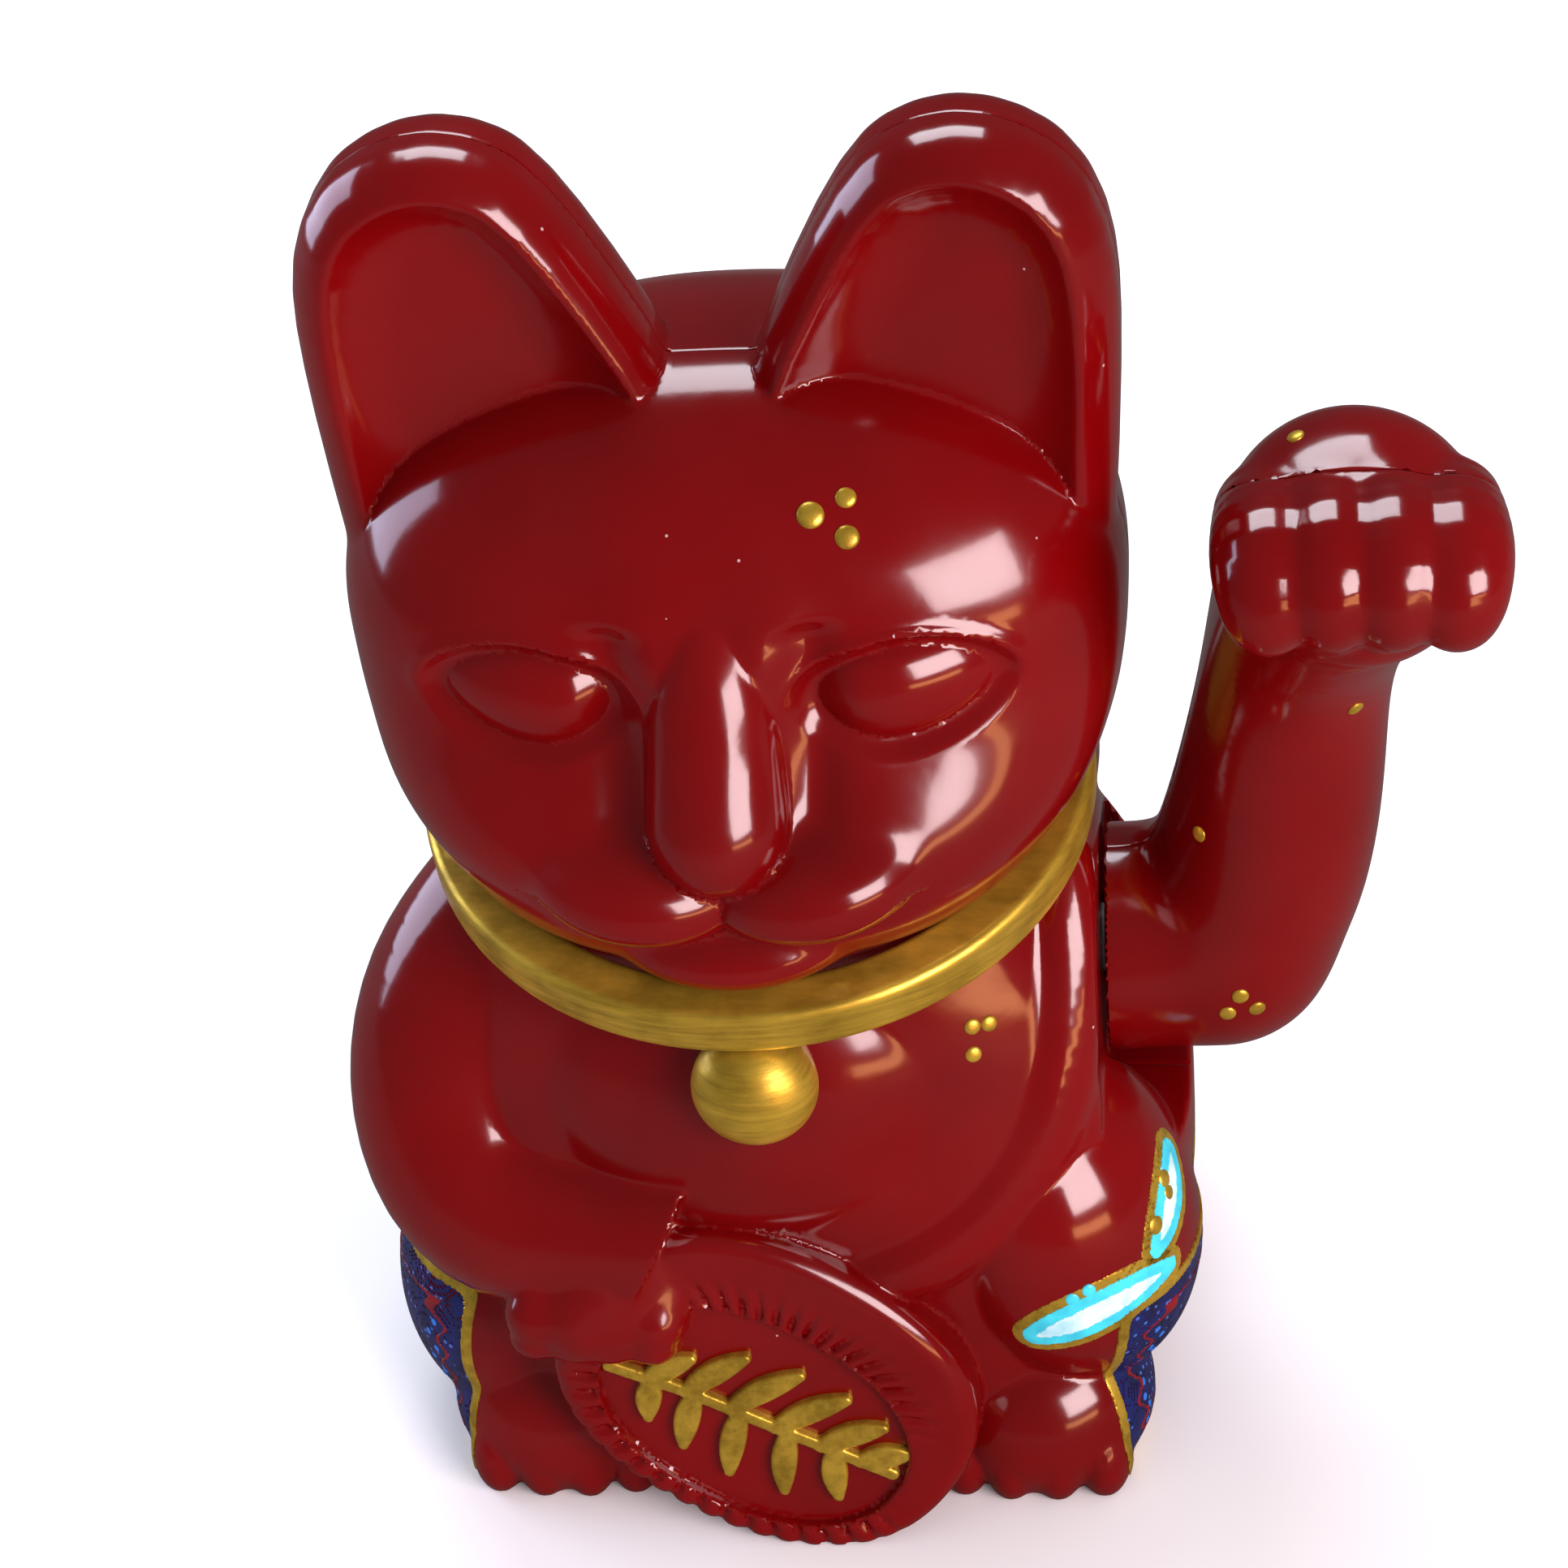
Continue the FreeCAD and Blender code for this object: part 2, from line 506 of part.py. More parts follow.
def contact(y0):
    """A flat contact on an end wall of the tray, with a solder tab over the wall's top."""
    face = box(CELL_X - 5, CELL_X + 5, y0, y0 + CONTACT_T, 4.2, TRAY_TOP)
    return face.fuse(box(CELL_X - 1.6, CELL_X + 1.6, y0, y0 + CONTACT_T, TRAY_TOP - 1, TAB_TOP))


def contact_plate():
    """The positive contact, with a dimple that meets the cell's cap."""
    y0 = TRAY_Y + TRAY_HALF_Y - CONTACT_T - 0.05
    tip = CELL_START_Y + CELL_LENGTH + CELL_CAP_T + 0.05
    return contact(y0).fuse(rod(2.0, V(CELL_X, tip, CELL_Z), V(CELL_X, y0 + 0.1, CELL_Z)))


def contact_spring():
    """The negative contact: a flat plate with a coiled spring on it."""
    y0 = TRAY_Y - TRAY_HALF_Y + 0.05
    wire_r, turns, radius = 0.35, 2, 3.6
    reach = CELL_START_Y - 0.05 - wire_r - (y0 + CONTACT_T)
    helix = Part.makeHelix(reach / turns, reach, radius)
    profile = Part.Wire([Part.makeCircle(wire_r, V(radius, 0, 0), Y_AXIS)])
    coil = Part.Wire(helix).makePipeShell([profile], True, True)
    coil.rotate(V(0, 0, 0), X_AXIS, -90)
    coil.translate(V(CELL_X, y0 + CONTACT_T, CELL_Z))
    return contact(y0).fuse(coil)


def switch_body():
    """The slide switch's can, open below for its knob."""
    x0, x1 = SWITCH_X - 3.4, SWITCH_X + SWITCH_TRAVEL + 3.4
    can = box(x0, x1, SWITCH_Y - 2.6, SWITCH_Y + 2.6, PLATE_T + 0.02, PLATE_T + 4.4)
    hollow = box(x0 + 0.6, x1 - 0.6, SWITCH_Y - 2.0, SWITCH_Y + 2.0, PLATE_T, PLATE_T + 3.6)
    pads = [box(x - 0.4, x + 0.4, SWITCH_Y - 0.9, SWITCH_Y + 0.9, PLATE_T + 4.0, PLATE_T + 5.4)
            for x in (x0 + 1.4, x1 - 1.4)]
    return can.cut(hollow).fuse(pads)


def switch_knob():
    """The switch's knob with its slider inside the can."""
    half = KNOB / 2
    post = box(SWITCH_X - half, SWITCH_X + half, SWITCH_Y - half, SWITCH_Y + half, 0.4, PLATE_T + 1.5)
    slider = box(SWITCH_X - 2.4, SWITCH_X + 2.4, SWITCH_Y - 1.65, SWITCH_Y + 1.65, PLATE_T + 0.35, PLATE_T + 3.2)
    grips = [box(SWITCH_X + d - 0.15, SWITCH_X + d + 0.15, SWITCH_Y - 2, SWITCH_Y + 2, 0, 0.7) for d in (-0.6, 0.6)]
    return post.fuse(slider).cut(grips)


# ---------------------------------------------------------------- works
def cheek(x0):
    """One cheek of the frame, a tapered plate."""
    low = PLATE_T + PAD_T + 0.02
    return extruded([(-CHEEK_FOOT_Y, low), (CHEEK_FOOT_Y, low), (CHEEK_TOP_Y, FRAME_TOP - 3),
                     (CHEEK_TOP_Y - 3, FRAME_TOP), (3 - CHEEK_TOP_Y, FRAME_TOP), (-CHEEK_TOP_Y, FRAME_TOP - 3)],
                    x0, x0 + CHEEK_T)


def movement_frame():
    """Two cheeks joined by cross bars, with screw feet and the axle's two bearings."""
    low = PLATE_T + PAD_T + 0.02
    left, right = FRAME_X0 - CHEEK_T, FRAME_X1
    body = cheek(left).fuse(cheek(right))
    bars = [box(left, right + CHEEK_T, y - 0.5, y + 0.5, low, low + 3.0) for y in (-16.8, 16.8)]
    feet = []
    for x, y in FRAME_FEET:
        feet.append(rod(BOSS_R, V(x, y, low), V(x, y, low + 6.4)))
        near = left if x < left else right + CHEEK_T
        feet.append(box(min(x, near), max(x, near), y - 1.2, y + 1.2, low, low + 6.4))
    body = body.fuse(bars + feet)
    pin = rod(PIN_R + PIN_FIT, V(left - 1, PIVOT_Y, PIVOT_Z), V(left + CHEEK_T + 1, PIVOT_Y, PIVOT_Z))
    neck = rod(NECK_R + NECK_FIT, V(right - 1, PIVOT_Y, PIVOT_Z), V(right + CHEEK_T + 1, PIVOT_Y, PIVOT_Z))
    screws = [rod(SCREW_R, V(x, y, 0), V(x, y, SCREW_LENGTH + 1.4)) for x, y in FRAME_FEET]
    return body.cut([pin, neck] + screws)


def lever_leg():
    """The pendulum's leg as a block."""
    return box(LEG_X - LEG_WIDTH / 2, LEG_X + LEG_WIDTH / 2, -LEG_T / 2, LEG_T / 2,
               MAGNET_BOTTOM + MAGNET_T, PIVOT_Z - 1)


def pendulum_lever():
    """Hub, leg, magnet cup and the neck that comes out of the body to the arm."""
    gap = 0.35
    hub = rod(5.0, V(FRAME_X0 + gap, PIVOT_Y, PIVOT_Z), V(FRAME_X1 - gap, PIVOT_Y, PIVOT_Z))
    neck = rod(NECK_R, V(FRAME_X1 - gap - 1, PIVOT_Y, PIVOT_Z), V(NOTCH_X + ARM_GAP - 0.05, PIVOT_Y, PIVOT_Z))
    cup = rod(MAGNET_R + CUP_WALL, V(LEG_X, 0, MAGNET_BOTTOM), V(LEG_X, 0, MAGNET_BOTTOM + MAGNET_T + 1.4))
    pocket = rod(MAGNET_R + 0.02, V(LEG_X, 0, MAGNET_BOTTOM - 1), V(LEG_X, 0, MAGNET_BOTTOM + MAGNET_T + 0.05))
    bore = rod(PIN_R, V(FRAME_X0, PIVOT_Y, PIVOT_Z), V(FRAME_X0 + 15, PIVOT_Y, PIVOT_Z))
    thread = rod(SCREW_R, V(SOCKET_END_X - 9, PIVOT_Y, PIVOT_Z), V(SOCKET_END_X, PIVOT_Y, PIVOT_Z))
    weight_hole = rod(SCREW_R, V(LEG_X, -3, WEIGHT_Z), V(LEG_X, 3, WEIGHT_Z))
    lever = hub.fuse([neck, lever_leg(), cup, stub()])
    return lever.cut([pocket, bore, thread, weight_hole])


def pivot_pin():
    """The steel pin pressed in the hub, which turns in the far cheek."""
    return rod(PIN_R, V(FRAME_X0 - CHEEK_T - 0.6, PIVOT_Y, PIVOT_Z), V(FRAME_X0 + 14.9, PIVOT_Y, PIVOT_Z))


def magnet():
    """The round magnet in the lever's cup."""
    disc = rod(MAGNET_R, V(LEG_X, 0, MAGNET_BOTTOM), V(LEG_X, 0, MAGNET_BOTTOM + MAGNET_T))
    return disc.makeChamfer(0.3, [disc.Edges[0], disc.Edges[2]])


def counterweight():
    """The steel block that hangs on the back of the leg, slotted round it."""
    gap = 0.05
    half_x = LEG_WIDTH / 2
    block = box(LEG_X - WEIGHT_HALF_X, LEG_X + WEIGHT_HALF_X, -LEG_T / 2, WEIGHT_BACK_Y,
                WEIGHT_Z - WEIGHT_HALF_Z, WEIGHT_Z + WEIGHT_HALF_Z)
    slot = box(LEG_X - half_x - gap, LEG_X + half_x + gap, -10, LEG_T / 2 + gap, 0, 60)
    hole = rod(SCREW_R, V(LEG_X, 0, WEIGHT_Z), V(LEG_X, WEIGHT_BACK_Y + 1, WEIGHT_Z))
    return block.cut([slot, hole])


def weight_screw():
    """The screw that holds the counterweight on the leg, headed in front."""
    return screw(V(LEG_X, -LEG_T / 2 - SCREW_HEAD_T - 0.02, WEIGHT_Z), 8.0, Y_AXIS)


def arm_screw():
    """The screw down the socket into the lever's stub."""
    return screw(V(SOCKET_END_X + SCREW_HEAD_T + 0.05, PIVOT_Y, PIVOT_Z), 8.0, V(-1, 0, 0))


def circuit_board():
    """The board under the pendulum."""
    board = box(FRAME_X0 + 1, FRAME_X1 - 1, -BOARD_HALF_Y + 0.8, BOARD_HALF_Y - 0.8, BOARD_Z + 0.02, BOARD_Z + BOARD_T)
    return board.cut([rod(BOARD_SCREW_R + 0.2, V(x, y, 0), V(x, y, 9)) for x, y in BOARD_SCREWS])


def coil_bobbin():
    """The spool between two flanges."""
    z = BOARD_Z + BOARD_T + 0.02
    low = rod(BOBBIN_R, V(LEG_X, 0, z), V(LEG_X, 0, z + FLANGE_T))
    high = rod(BOBBIN_R, V(LEG_X, 0, z + BOBBIN_T - FLANGE_T), V(LEG_X, 0, z + BOBBIN_T))
    core = rod(BOBBIN_CORE_R, V(LEG_X, 0, z), V(LEG_X, 0, z + BOBBIN_T))
    hole = rod(1.6, V(LEG_X, 0, z - 1), V(LEG_X, 0, z + BOBBIN_T + 1))
    return low.fuse([high, core]).cut(hole)


def coil_winding():
    """The copper winding, with the fine grooves of its outermost turns."""
    z0 = BOARD_Z + BOARD_T + 0.04 + FLANGE_T
    z1 = z0 + BOBBIN_T - 2 * FLANGE_T - 0.04
    ring = rod(BOBBIN_R - 0.8, V(LEG_X, 0, z0), V(LEG_X, 0, z1))
    ring = ring.cut(rod(BOBBIN_CORE_R + 0.03, V(LEG_X, 0, z0 - 1), V(LEG_X, 0, z1 + 1)))
    turns = 8
    pitch = (z1 - z0) / turns
    grooves = [Part.makeTorus(BOBBIN_R - 0.8, 0.16, V(LEG_X, 0, z0 + pitch * (i + 0.5))) for i in range(turns)]
    return ring.cut(grooves)


def drive_chip():
    """The chip that senses and drives the coil, with its eight legs."""
    top = BOARD_Z + BOARD_T
    body = box(CHIP[0] - 2.5, CHIP[0] + 2.5, CHIP[1] - 1.95, CHIP[1] + 1.95, top + 0.2, top + 1.7)
    legs = []
    for i in range(4):
        x = CHIP[0] - 1.9 + 1.27 * i
        for side in (1, -1):
            y = CHIP[1] + side * 2.5
            legs.append(box(x - 0.2, x + 0.2, min(y, y - side * 0.8), max(y, y - side * 0.8), top + 0.7, top + 1.0))
            legs.append(box(x - 0.2, x + 0.2, min(y, y + side * 0.3), max(y, y + side * 0.3), top + 0.02, top + 1.0))
    return body.fuse(legs)


def capacitor():
    """The electrolytic can with its scored top."""
    top = BOARD_Z + BOARD_T + 0.02
    x, y = CAPACITOR
    can = rod(2.5, V(x, y, top), V(x, y, top + 5.6))
    scores = [box(x - 1.5, x + 1.5, y - 0.12, y + 0.12, top + 5.4, top + 6),
              box(x - 0.12, x + 0.12, y - 1.5, y + 1.5, top + 5.4, top + 6)]
    return can.cut(scores)


def resistor():
    """The resistor lying on the board on its two bent leads."""
    top = BOARD_Z + BOARD_T + 0.02
    x, y = RESISTOR
    z = top + 1.2
    body = rod(0.9, V(x, y - 1.6, z), V(x, y + 1.6, z))
    legs = [rod(0.25, V(x, y + s * 1.4, z), V(x, y + s * 2.4, z)) for s in (1, -1)]
    legs += [rod(0.25, V(x, y + s * 2.2, top), V(x, y + s * 2.2, z)) for s in (1, -1)]
    return body.fuse(legs)


def electric_leads():
    """The leads along their routes, by node name."""
    board = BOARD_Z + BOARD_T + 0.03
    back_tab = TRAY_Y + TRAY_HALF_Y - CONTACT_T - 0.05 - LEAD_R - 0.02
    front_tab = TRAY_Y - TRAY_HALF_Y + 0.05 + CONTACT_T + LEAD_R + 0.02
    pad_z = PLATE_T + 5.4 + LEAD_R + 0.02
    tab_z = TAB_TOP - 1.2
    left_pad, right_pad = SWITCH_X - 2.0, SWITCH_X + SWITCH_TRAVEL + 2.0
    red = lead([(CELL_X, back_tab, tab_z), (CELL_X + 5, back_tab - 1.0, tab_z + 1.5), (-2.4, 23.6, tab_z + 1.0),
                (3.0, 23.6, 12.0), (left_pad, SWITCH_Y, pad_z)])
    black = lead([(CELL_X, front_tab, tab_z), (CELL_X + 5, front_tab + 1.0, tab_z + 1.5), (-2.4, -22.8, tab_z + 1.0),
                  (4.0, -22.0, 12.0), (13.0, -20.6, 9.8), (14.0, -18.0, 9.4), (11.0, -15.4, 9.0), (11.0, -15.0, board)])
    switch = lead([(right_pad, SWITCH_Y, pad_z), (20.6, 22.4, 10.4), (21.4, 18.6, 10.6), (21.2, 11.0, 9.4),
                   (21.2, 10.4, board)])
    coil = [lead([(LEG_X - 8.4, s * 9.8, board), (LEG_X - 8.4, s * 9.4, board + 0.8), (LEG_X - 8.3, s * 5.6, board + 2.2),
                  (LEG_X - 7.2, s * 4.8, board + 3.4)], 0.22) for s in (1, -1)]
    return {"red_lead": red, "black_lead": black, "switch_lead": switch, "coil_leads": Part.makeCompound(coil)}


# ---------------------------------------------------------------- hand out the nodes
def all_nodes():
    """Every node of the model by name."""
    front, rear = moulded_shells()
    arm_front, arm_rear = arm_halves()
    nodes = {"front_shell": front, "rear_shell": rear, "arm_front_shell": arm_front, "arm_rear_shell": arm_rear}
    nodes["base_screws"] = Part.makeCompound([screw(V(x, y, SCREW_SINK), SCREW_LENGTH) for x, y in SHELL_BOSSES])
    nodes["frame_screws"] = Part.makeCompound([screw(V(x, y, SCREW_SINK), SCREW_LENGTH) for x, y in FRAME_FEET])
    board_top = BOARD_Z + BOARD_T + 0.02 + SCREW_HEAD_T
    nodes["board_screws"] = Part.makeCompound(
        [rod(1.5, V(x, y, board_top), V(x, y, board_top - SCREW_HEAD_T)).fuse(
            rod(BOARD_SCREW_R, V(x, y, board_top), V(x, y, 1.6))) for x, y in BOARD_SCREWS])
    for build in (base_plate, battery_door, battery_cell, contact_plate, contact_spring, switch_body, switch_knob,
                  movement_frame, pendulum_lever, pivot_pin, magnet, counterweight, weight_screw, arm_screw,
                  circuit_board, coil_bobbin, coil_winding, drive_chip, capacitor, resistor):
        nodes[build.__name__] = build()
    nodes.update(electric_leads())
    return nodes


os.makedirs("parts", exist_ok=True)
for name, shape in all_nodes().items():
    shape.exportStep("parts/" + name + ".step")
    print(name, shape.isValid(), len(shape.Solids), round(shape.Volume, 1))
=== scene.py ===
"""Looks of a waving cat figurine: moulded shells, painted trim, finishes and a small studio."""

import json
import logging
import math
from concurrent.futures import ThreadPoolExecutor
from dataclasses import dataclass
from enum import Enum
from functools import lru_cache
from typing import Any, Callable

import bpy
import numpy as np
from mathutils import Matrix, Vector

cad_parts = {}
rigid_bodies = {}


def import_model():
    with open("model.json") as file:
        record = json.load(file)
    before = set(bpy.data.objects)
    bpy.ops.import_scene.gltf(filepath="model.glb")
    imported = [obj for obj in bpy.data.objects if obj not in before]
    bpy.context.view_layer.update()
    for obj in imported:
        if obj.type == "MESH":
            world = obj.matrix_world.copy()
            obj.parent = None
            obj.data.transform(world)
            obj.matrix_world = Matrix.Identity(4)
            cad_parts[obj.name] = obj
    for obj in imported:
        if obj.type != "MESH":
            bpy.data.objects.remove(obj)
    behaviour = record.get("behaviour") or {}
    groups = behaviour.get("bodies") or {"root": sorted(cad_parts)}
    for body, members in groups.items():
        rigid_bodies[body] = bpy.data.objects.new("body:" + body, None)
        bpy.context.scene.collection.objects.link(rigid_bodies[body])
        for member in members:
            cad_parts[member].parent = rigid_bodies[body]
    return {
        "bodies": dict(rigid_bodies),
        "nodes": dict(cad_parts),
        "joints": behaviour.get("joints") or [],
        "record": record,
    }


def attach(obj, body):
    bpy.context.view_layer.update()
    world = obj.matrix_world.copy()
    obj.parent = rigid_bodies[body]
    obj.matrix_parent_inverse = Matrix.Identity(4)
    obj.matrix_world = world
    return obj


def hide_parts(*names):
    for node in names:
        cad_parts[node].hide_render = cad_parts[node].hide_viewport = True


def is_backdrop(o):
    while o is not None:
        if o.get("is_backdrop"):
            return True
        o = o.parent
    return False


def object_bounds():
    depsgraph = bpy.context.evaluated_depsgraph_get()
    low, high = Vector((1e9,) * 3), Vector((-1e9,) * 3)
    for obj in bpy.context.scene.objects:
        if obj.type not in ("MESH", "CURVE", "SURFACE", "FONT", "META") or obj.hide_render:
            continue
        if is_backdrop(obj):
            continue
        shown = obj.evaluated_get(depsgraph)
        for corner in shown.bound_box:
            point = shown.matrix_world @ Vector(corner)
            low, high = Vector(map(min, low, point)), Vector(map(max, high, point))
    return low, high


LOG = logging.getLogger("figurine")
MM = 0.001

Array = np.ndarray
Vec3 = tuple[float, float, float]
Colour = tuple[float, float, float]
Form = Callable[[Array], Array]


# ----------------------------------------------------------------------------- solids as distance fields


def meet(a: Array, b: Array, soft: float) -> Array:
    """Joins two solids with a fillet.

    Args:
        a: Distances to the first solid, in millimetres.
        b: Distances to the second solid.
        soft: Width of the fillet in millimetres; 0 leaves a crisp crease.

    Returns:
        Distances to the joined solid.
    """
    if soft <= 0:
        return np.minimum(a, b)
    h = np.maximum(soft - np.abs(a - b), 0.0) / soft
    return np.minimum(a, b) - h * h * h * soft / 6.0


def keep(a: Array, b: Array, soft: float) -> Array:
    """Returns the distances to what two solids share, its edge rounded over a width."""
    return -meet(-a, -b, soft)


def carve(a: Array, b: Array, soft: float) -> Array:
    """Returns the distances to solid a with solid b cut out of it, the cut's lip rounded."""
    return -meet(-a, b, soft)


def bump(t: Array) -> Array:
    """Returns a bell curve that is 1 at 0 and nearly 0 at 2."""
    return np.exp(-t * t)


def ramp(t: Array) -> Array:
    """Returns a smooth step from 0 at -1 to 1 at +1."""
    u = np.clip(t * 0.5 + 0.5, 0.0, 1.0)
    return u * u * u * (u * (6 * u - 15) + 10)


def oval(u: Array, v: Array, a: float, b: float, power: float = 2.0) -> Array:
    """Returns the radial distance to an oval with half sizes a and b."""
    k = ((np.abs(u) / a) ** power + (np.abs(v) / b) ** power) ** (1 / power) + 1e-9
    return np.hypot(u, v) * (1 - 1 / k)


def mirrored(p: Array) -> Array:
    """Returns the points folded onto the +X side."""
    return np.column_stack([np.abs(p[:, 0]), p[:, 1], p[:, 2]])


def block(p: Array, low: Vec3, high: Vec3) -> Array:
    """Returns the distance to a box between two corners."""
    c, h = (np.array(low) + np.array(high)) / 2, (np.array(high) - np.array(low)) / 2
    q = np.abs(p - c) - h
    return np.linalg.norm(np.maximum(q, 0), axis=1) + np.minimum(q.max(axis=1), 0)


def rod(p: Array, axis: int, centre: tuple[float, float], radius: float, low: float, high: float) -> Array:
    """Returns the distance to a cylinder.

    Args:
        p: Points.
        axis: 0, 1 or 2 for a cylinder along X, Y or Z.
        centre: The other two coordinates of its axis, in X, Y, Z order.
        radius: Its radius.
        low: Where it starts along its axis.
        high: Where it ends.
    """
    others = [k for k in range(3) if k != axis]
    side = np.hypot(p[:, others[0]] - centre[0], p[:, others[1]] - centre[1]) - radius
    return np.maximum(side, np.maximum(low - p[:, axis], p[:, axis] - high))


def turn_matrix(turn: Vec3) -> Array:
    """Returns the rotation matrix for turns about X, then Y, then Z in degrees."""
    ax, ay, az = (math.radians(t) for t in turn)
    rx = np.array([[1, 0, 0], [0, math.cos(ax), -math.sin(ax)], [0, math.sin(ax), math.cos(ax)]])
    ry = np.array([[math.cos(ay), 0, math.sin(ay)], [0, 1, 0], [-math.sin(ay), 0, math.cos(ay)]])
    rz = np.array([[math.cos(az), -math.sin(az), 0], [math.sin(az), math.cos(az), 0], [0, 0, 1]])
    return rz @ ry @ rx


@dataclass(frozen=True)
class Ellipsoid:
    """A turned ellipsoid."""

    centre: Vec3
    radii: Vec3
    turn: Vec3 = (0.0, 0.0, 0.0)

    def distance(self, p: Array) -> Array:
        """Returns a first-order distance, exact on the surface."""
        q = (p - np.array(self.centre)) @ turn_matrix(self.turn)
        r = np.array(self.radii)
        k0 = np.sqrt(np.sum((q / r) ** 2, axis=1))
        k1 = np.sqrt(np.sum((q / (r * r)) ** 2, axis=1)) + 1e-9
        return k0 * (k0 - 1.0) / k1


@dataclass(frozen=True)
class Limb:
    """A chain of round cones through (x, y, z, radius) points."""

    walk: tuple[tuple[float, float, float, float], ...]
    soft: float = 3.0

    def distance(self, p: Array) -> Array:
        """Returns the distance to the chain, its joints softened."""
        out = None
        for a, b in zip(self.walk, self.walk[1:]):
            start, end = np.array(a[:3]), np.array(b[:3])
            axis = end - start
            t = np.clip(((p - start) @ axis) / (axis @ axis), 0.0, 1.0)
            gap = np.linalg.norm(p - start - t[:, None] * axis, axis=1)
            d = gap - (a[3] + (b[3] - a[3]) * t)
            out = d if out is None else meet(out, d, self.soft)
        return out


@lru_cache(maxsize=None)
def spline(rows: tuple[tuple[float, ...], ...]) -> tuple[Array, Array, Array]:
    """Fits a natural cubic curve through each value column of a (z, value, ...) table.

    Returns:
        The knots, the values at them, and the second derivatives there.
    """
    table = np.array(rows, float)
    knots, values = table[:, 0], table[:, 1:]
    h = np.diff(knots)
    count = len(knots)
    system, right = np.zeros((count, count)), np.zeros_like(values)
    system[0, 0] = system[-1, -1] = 1.0
    for i in range(1, count - 1):
        system[i, i - 1:i + 2] = h[i - 1], 2 * (h[i - 1] + h[i]), h[i]
        right[i] = 6 * ((values[i + 1] - values[i]) / h[i] - (values[i] - values[i - 1]) / h[i - 1])
    return knots, values, np.linalg.solve(system, right)


def along(rows: tuple[tuple[float, ...], ...], z: Array) -> list[Array]:
    """Reads each value column of a (z, value, ...) table at heights, through smooth curves."""
    knots, values, bend = spline(rows)
    z = np.clip(z, knots[0], knots[-1])
    i = np.clip(np.searchsorted(knots, z) - 1, 0, len(knots) - 2)
    h = knots[i + 1] - knots[i]
    a, b = (knots[i + 1] - z) / h, (z - knots[i]) / h
    ca, cb = (a ** 3 - a) * h * h / 6, (b ** 3 - b) * h * h / 6
    return [a * v[i] + b * v[i + 1] + ca * m[i] + cb * m[i + 1] for v, m in zip(values.T, bend.T)]


@dataclass(frozen=True)
class Sweep:
    """A tube of changing thickness along a smooth curve through (x, y, z, radius) points."""

    walk: tuple[tuple[float, float, float, float], ...]
    steps: int = 6
    soft: float = 0.5

    def distance(self, p: Array) -> Array:
        """Returns the distance to the tube."""
        return chain(self.walk, self.steps, self.soft).distance(p)


@lru_cache(maxsize=None)
def chain(walk: tuple[tuple[float, float, float, float], ...], steps: int, soft: float) -> Limb:
    """Returns a chain of short round cones along a smooth curve through points."""
    rows = tuple((float(i), *point) for i, point in enumerate(walk))
    columns = along(rows, np.linspace(0.0, len(walk) - 1.0, steps * (len(walk) - 1) + 1))
    return Limb(tuple(tuple(float(c) for c in point) for point in zip(*columns)), soft)


@dataclass(frozen=True)
class Stack:
    """A form given by its sections up its height.

    Attributes:
        rows: (z, half width, front y, back y) of each section, z rising.
        powers: How square the sections are at the bottom and at the top; 2 is an ellipse.
        middle_y: Where the widest line of each section lies.
        crown: The height where the form starts to close upwards, and its top.
        chin: The height where it starts to close downwards, and its bottom.
    """

    rows: tuple[tuple[float, float, float, float], ...]
    powers: tuple[float, float]
    middle_y: float
    crown: tuple[float, float] | None = None
    chin: tuple[float, float] | None = None

    CLOSING = 2.5

    def distance(self, p: Array) -> Array:
        """Returns the distance along the line to the form's core, close to the true one."""
        z = p[:, 2]
        low, high = self.rows[0][0], self.rows[-1][0]
        half, front, back = along(self.rows, z)
        y = p[:, 1] - self.middle_y
        depth = np.where(y < 0, self.middle_y - front, back - self.middle_y)
        level = np.clip((z - low) / (high - low), 0.0, 1.0)
        power = self.powers[0] + (self.powers[1] - self.powers[0]) * level
        u = (np.abs(p[:, 0]) / half) ** power + (np.abs(y) / depth) ** power
        lift = np.zeros_like(z)
        for closing, sign in ((self.crown, 1.0), (self.chin, -1.0)):
            if closing:
                rise = np.maximum((z - closing[0]) * sign, 0.0)
                lift += rise
                u = u + (rise / abs(closing[1] - closing[0])) ** self.CLOSING
        k = (u + 1e-12) ** (1 / power)
        reach = np.sqrt(p[:, 0] ** 2 + y ** 2 + lift ** 2)
        d = np.where(k < 1e-3, -np.minimum(half, depth), reach * (1 - 1 / np.maximum(k, 1e-3)))
        return d if self.crown else np.maximum(d, z - high)


@lru_cache(maxsize=None)
def rounded(outline: tuple[tuple[float, float], ...]) -> Array:
    """Returns an outline with its corners cut twice, which makes it a smooth curve."""
    v = np.array(outline, float)
    for _ in range(2):
        ahead = np.roll(v, -1, axis=0)
        v = np.stack([v * 0.75 + ahead * 0.25, v * 0.25 + ahead * 0.75], 1).reshape(-1, 2)
    return v


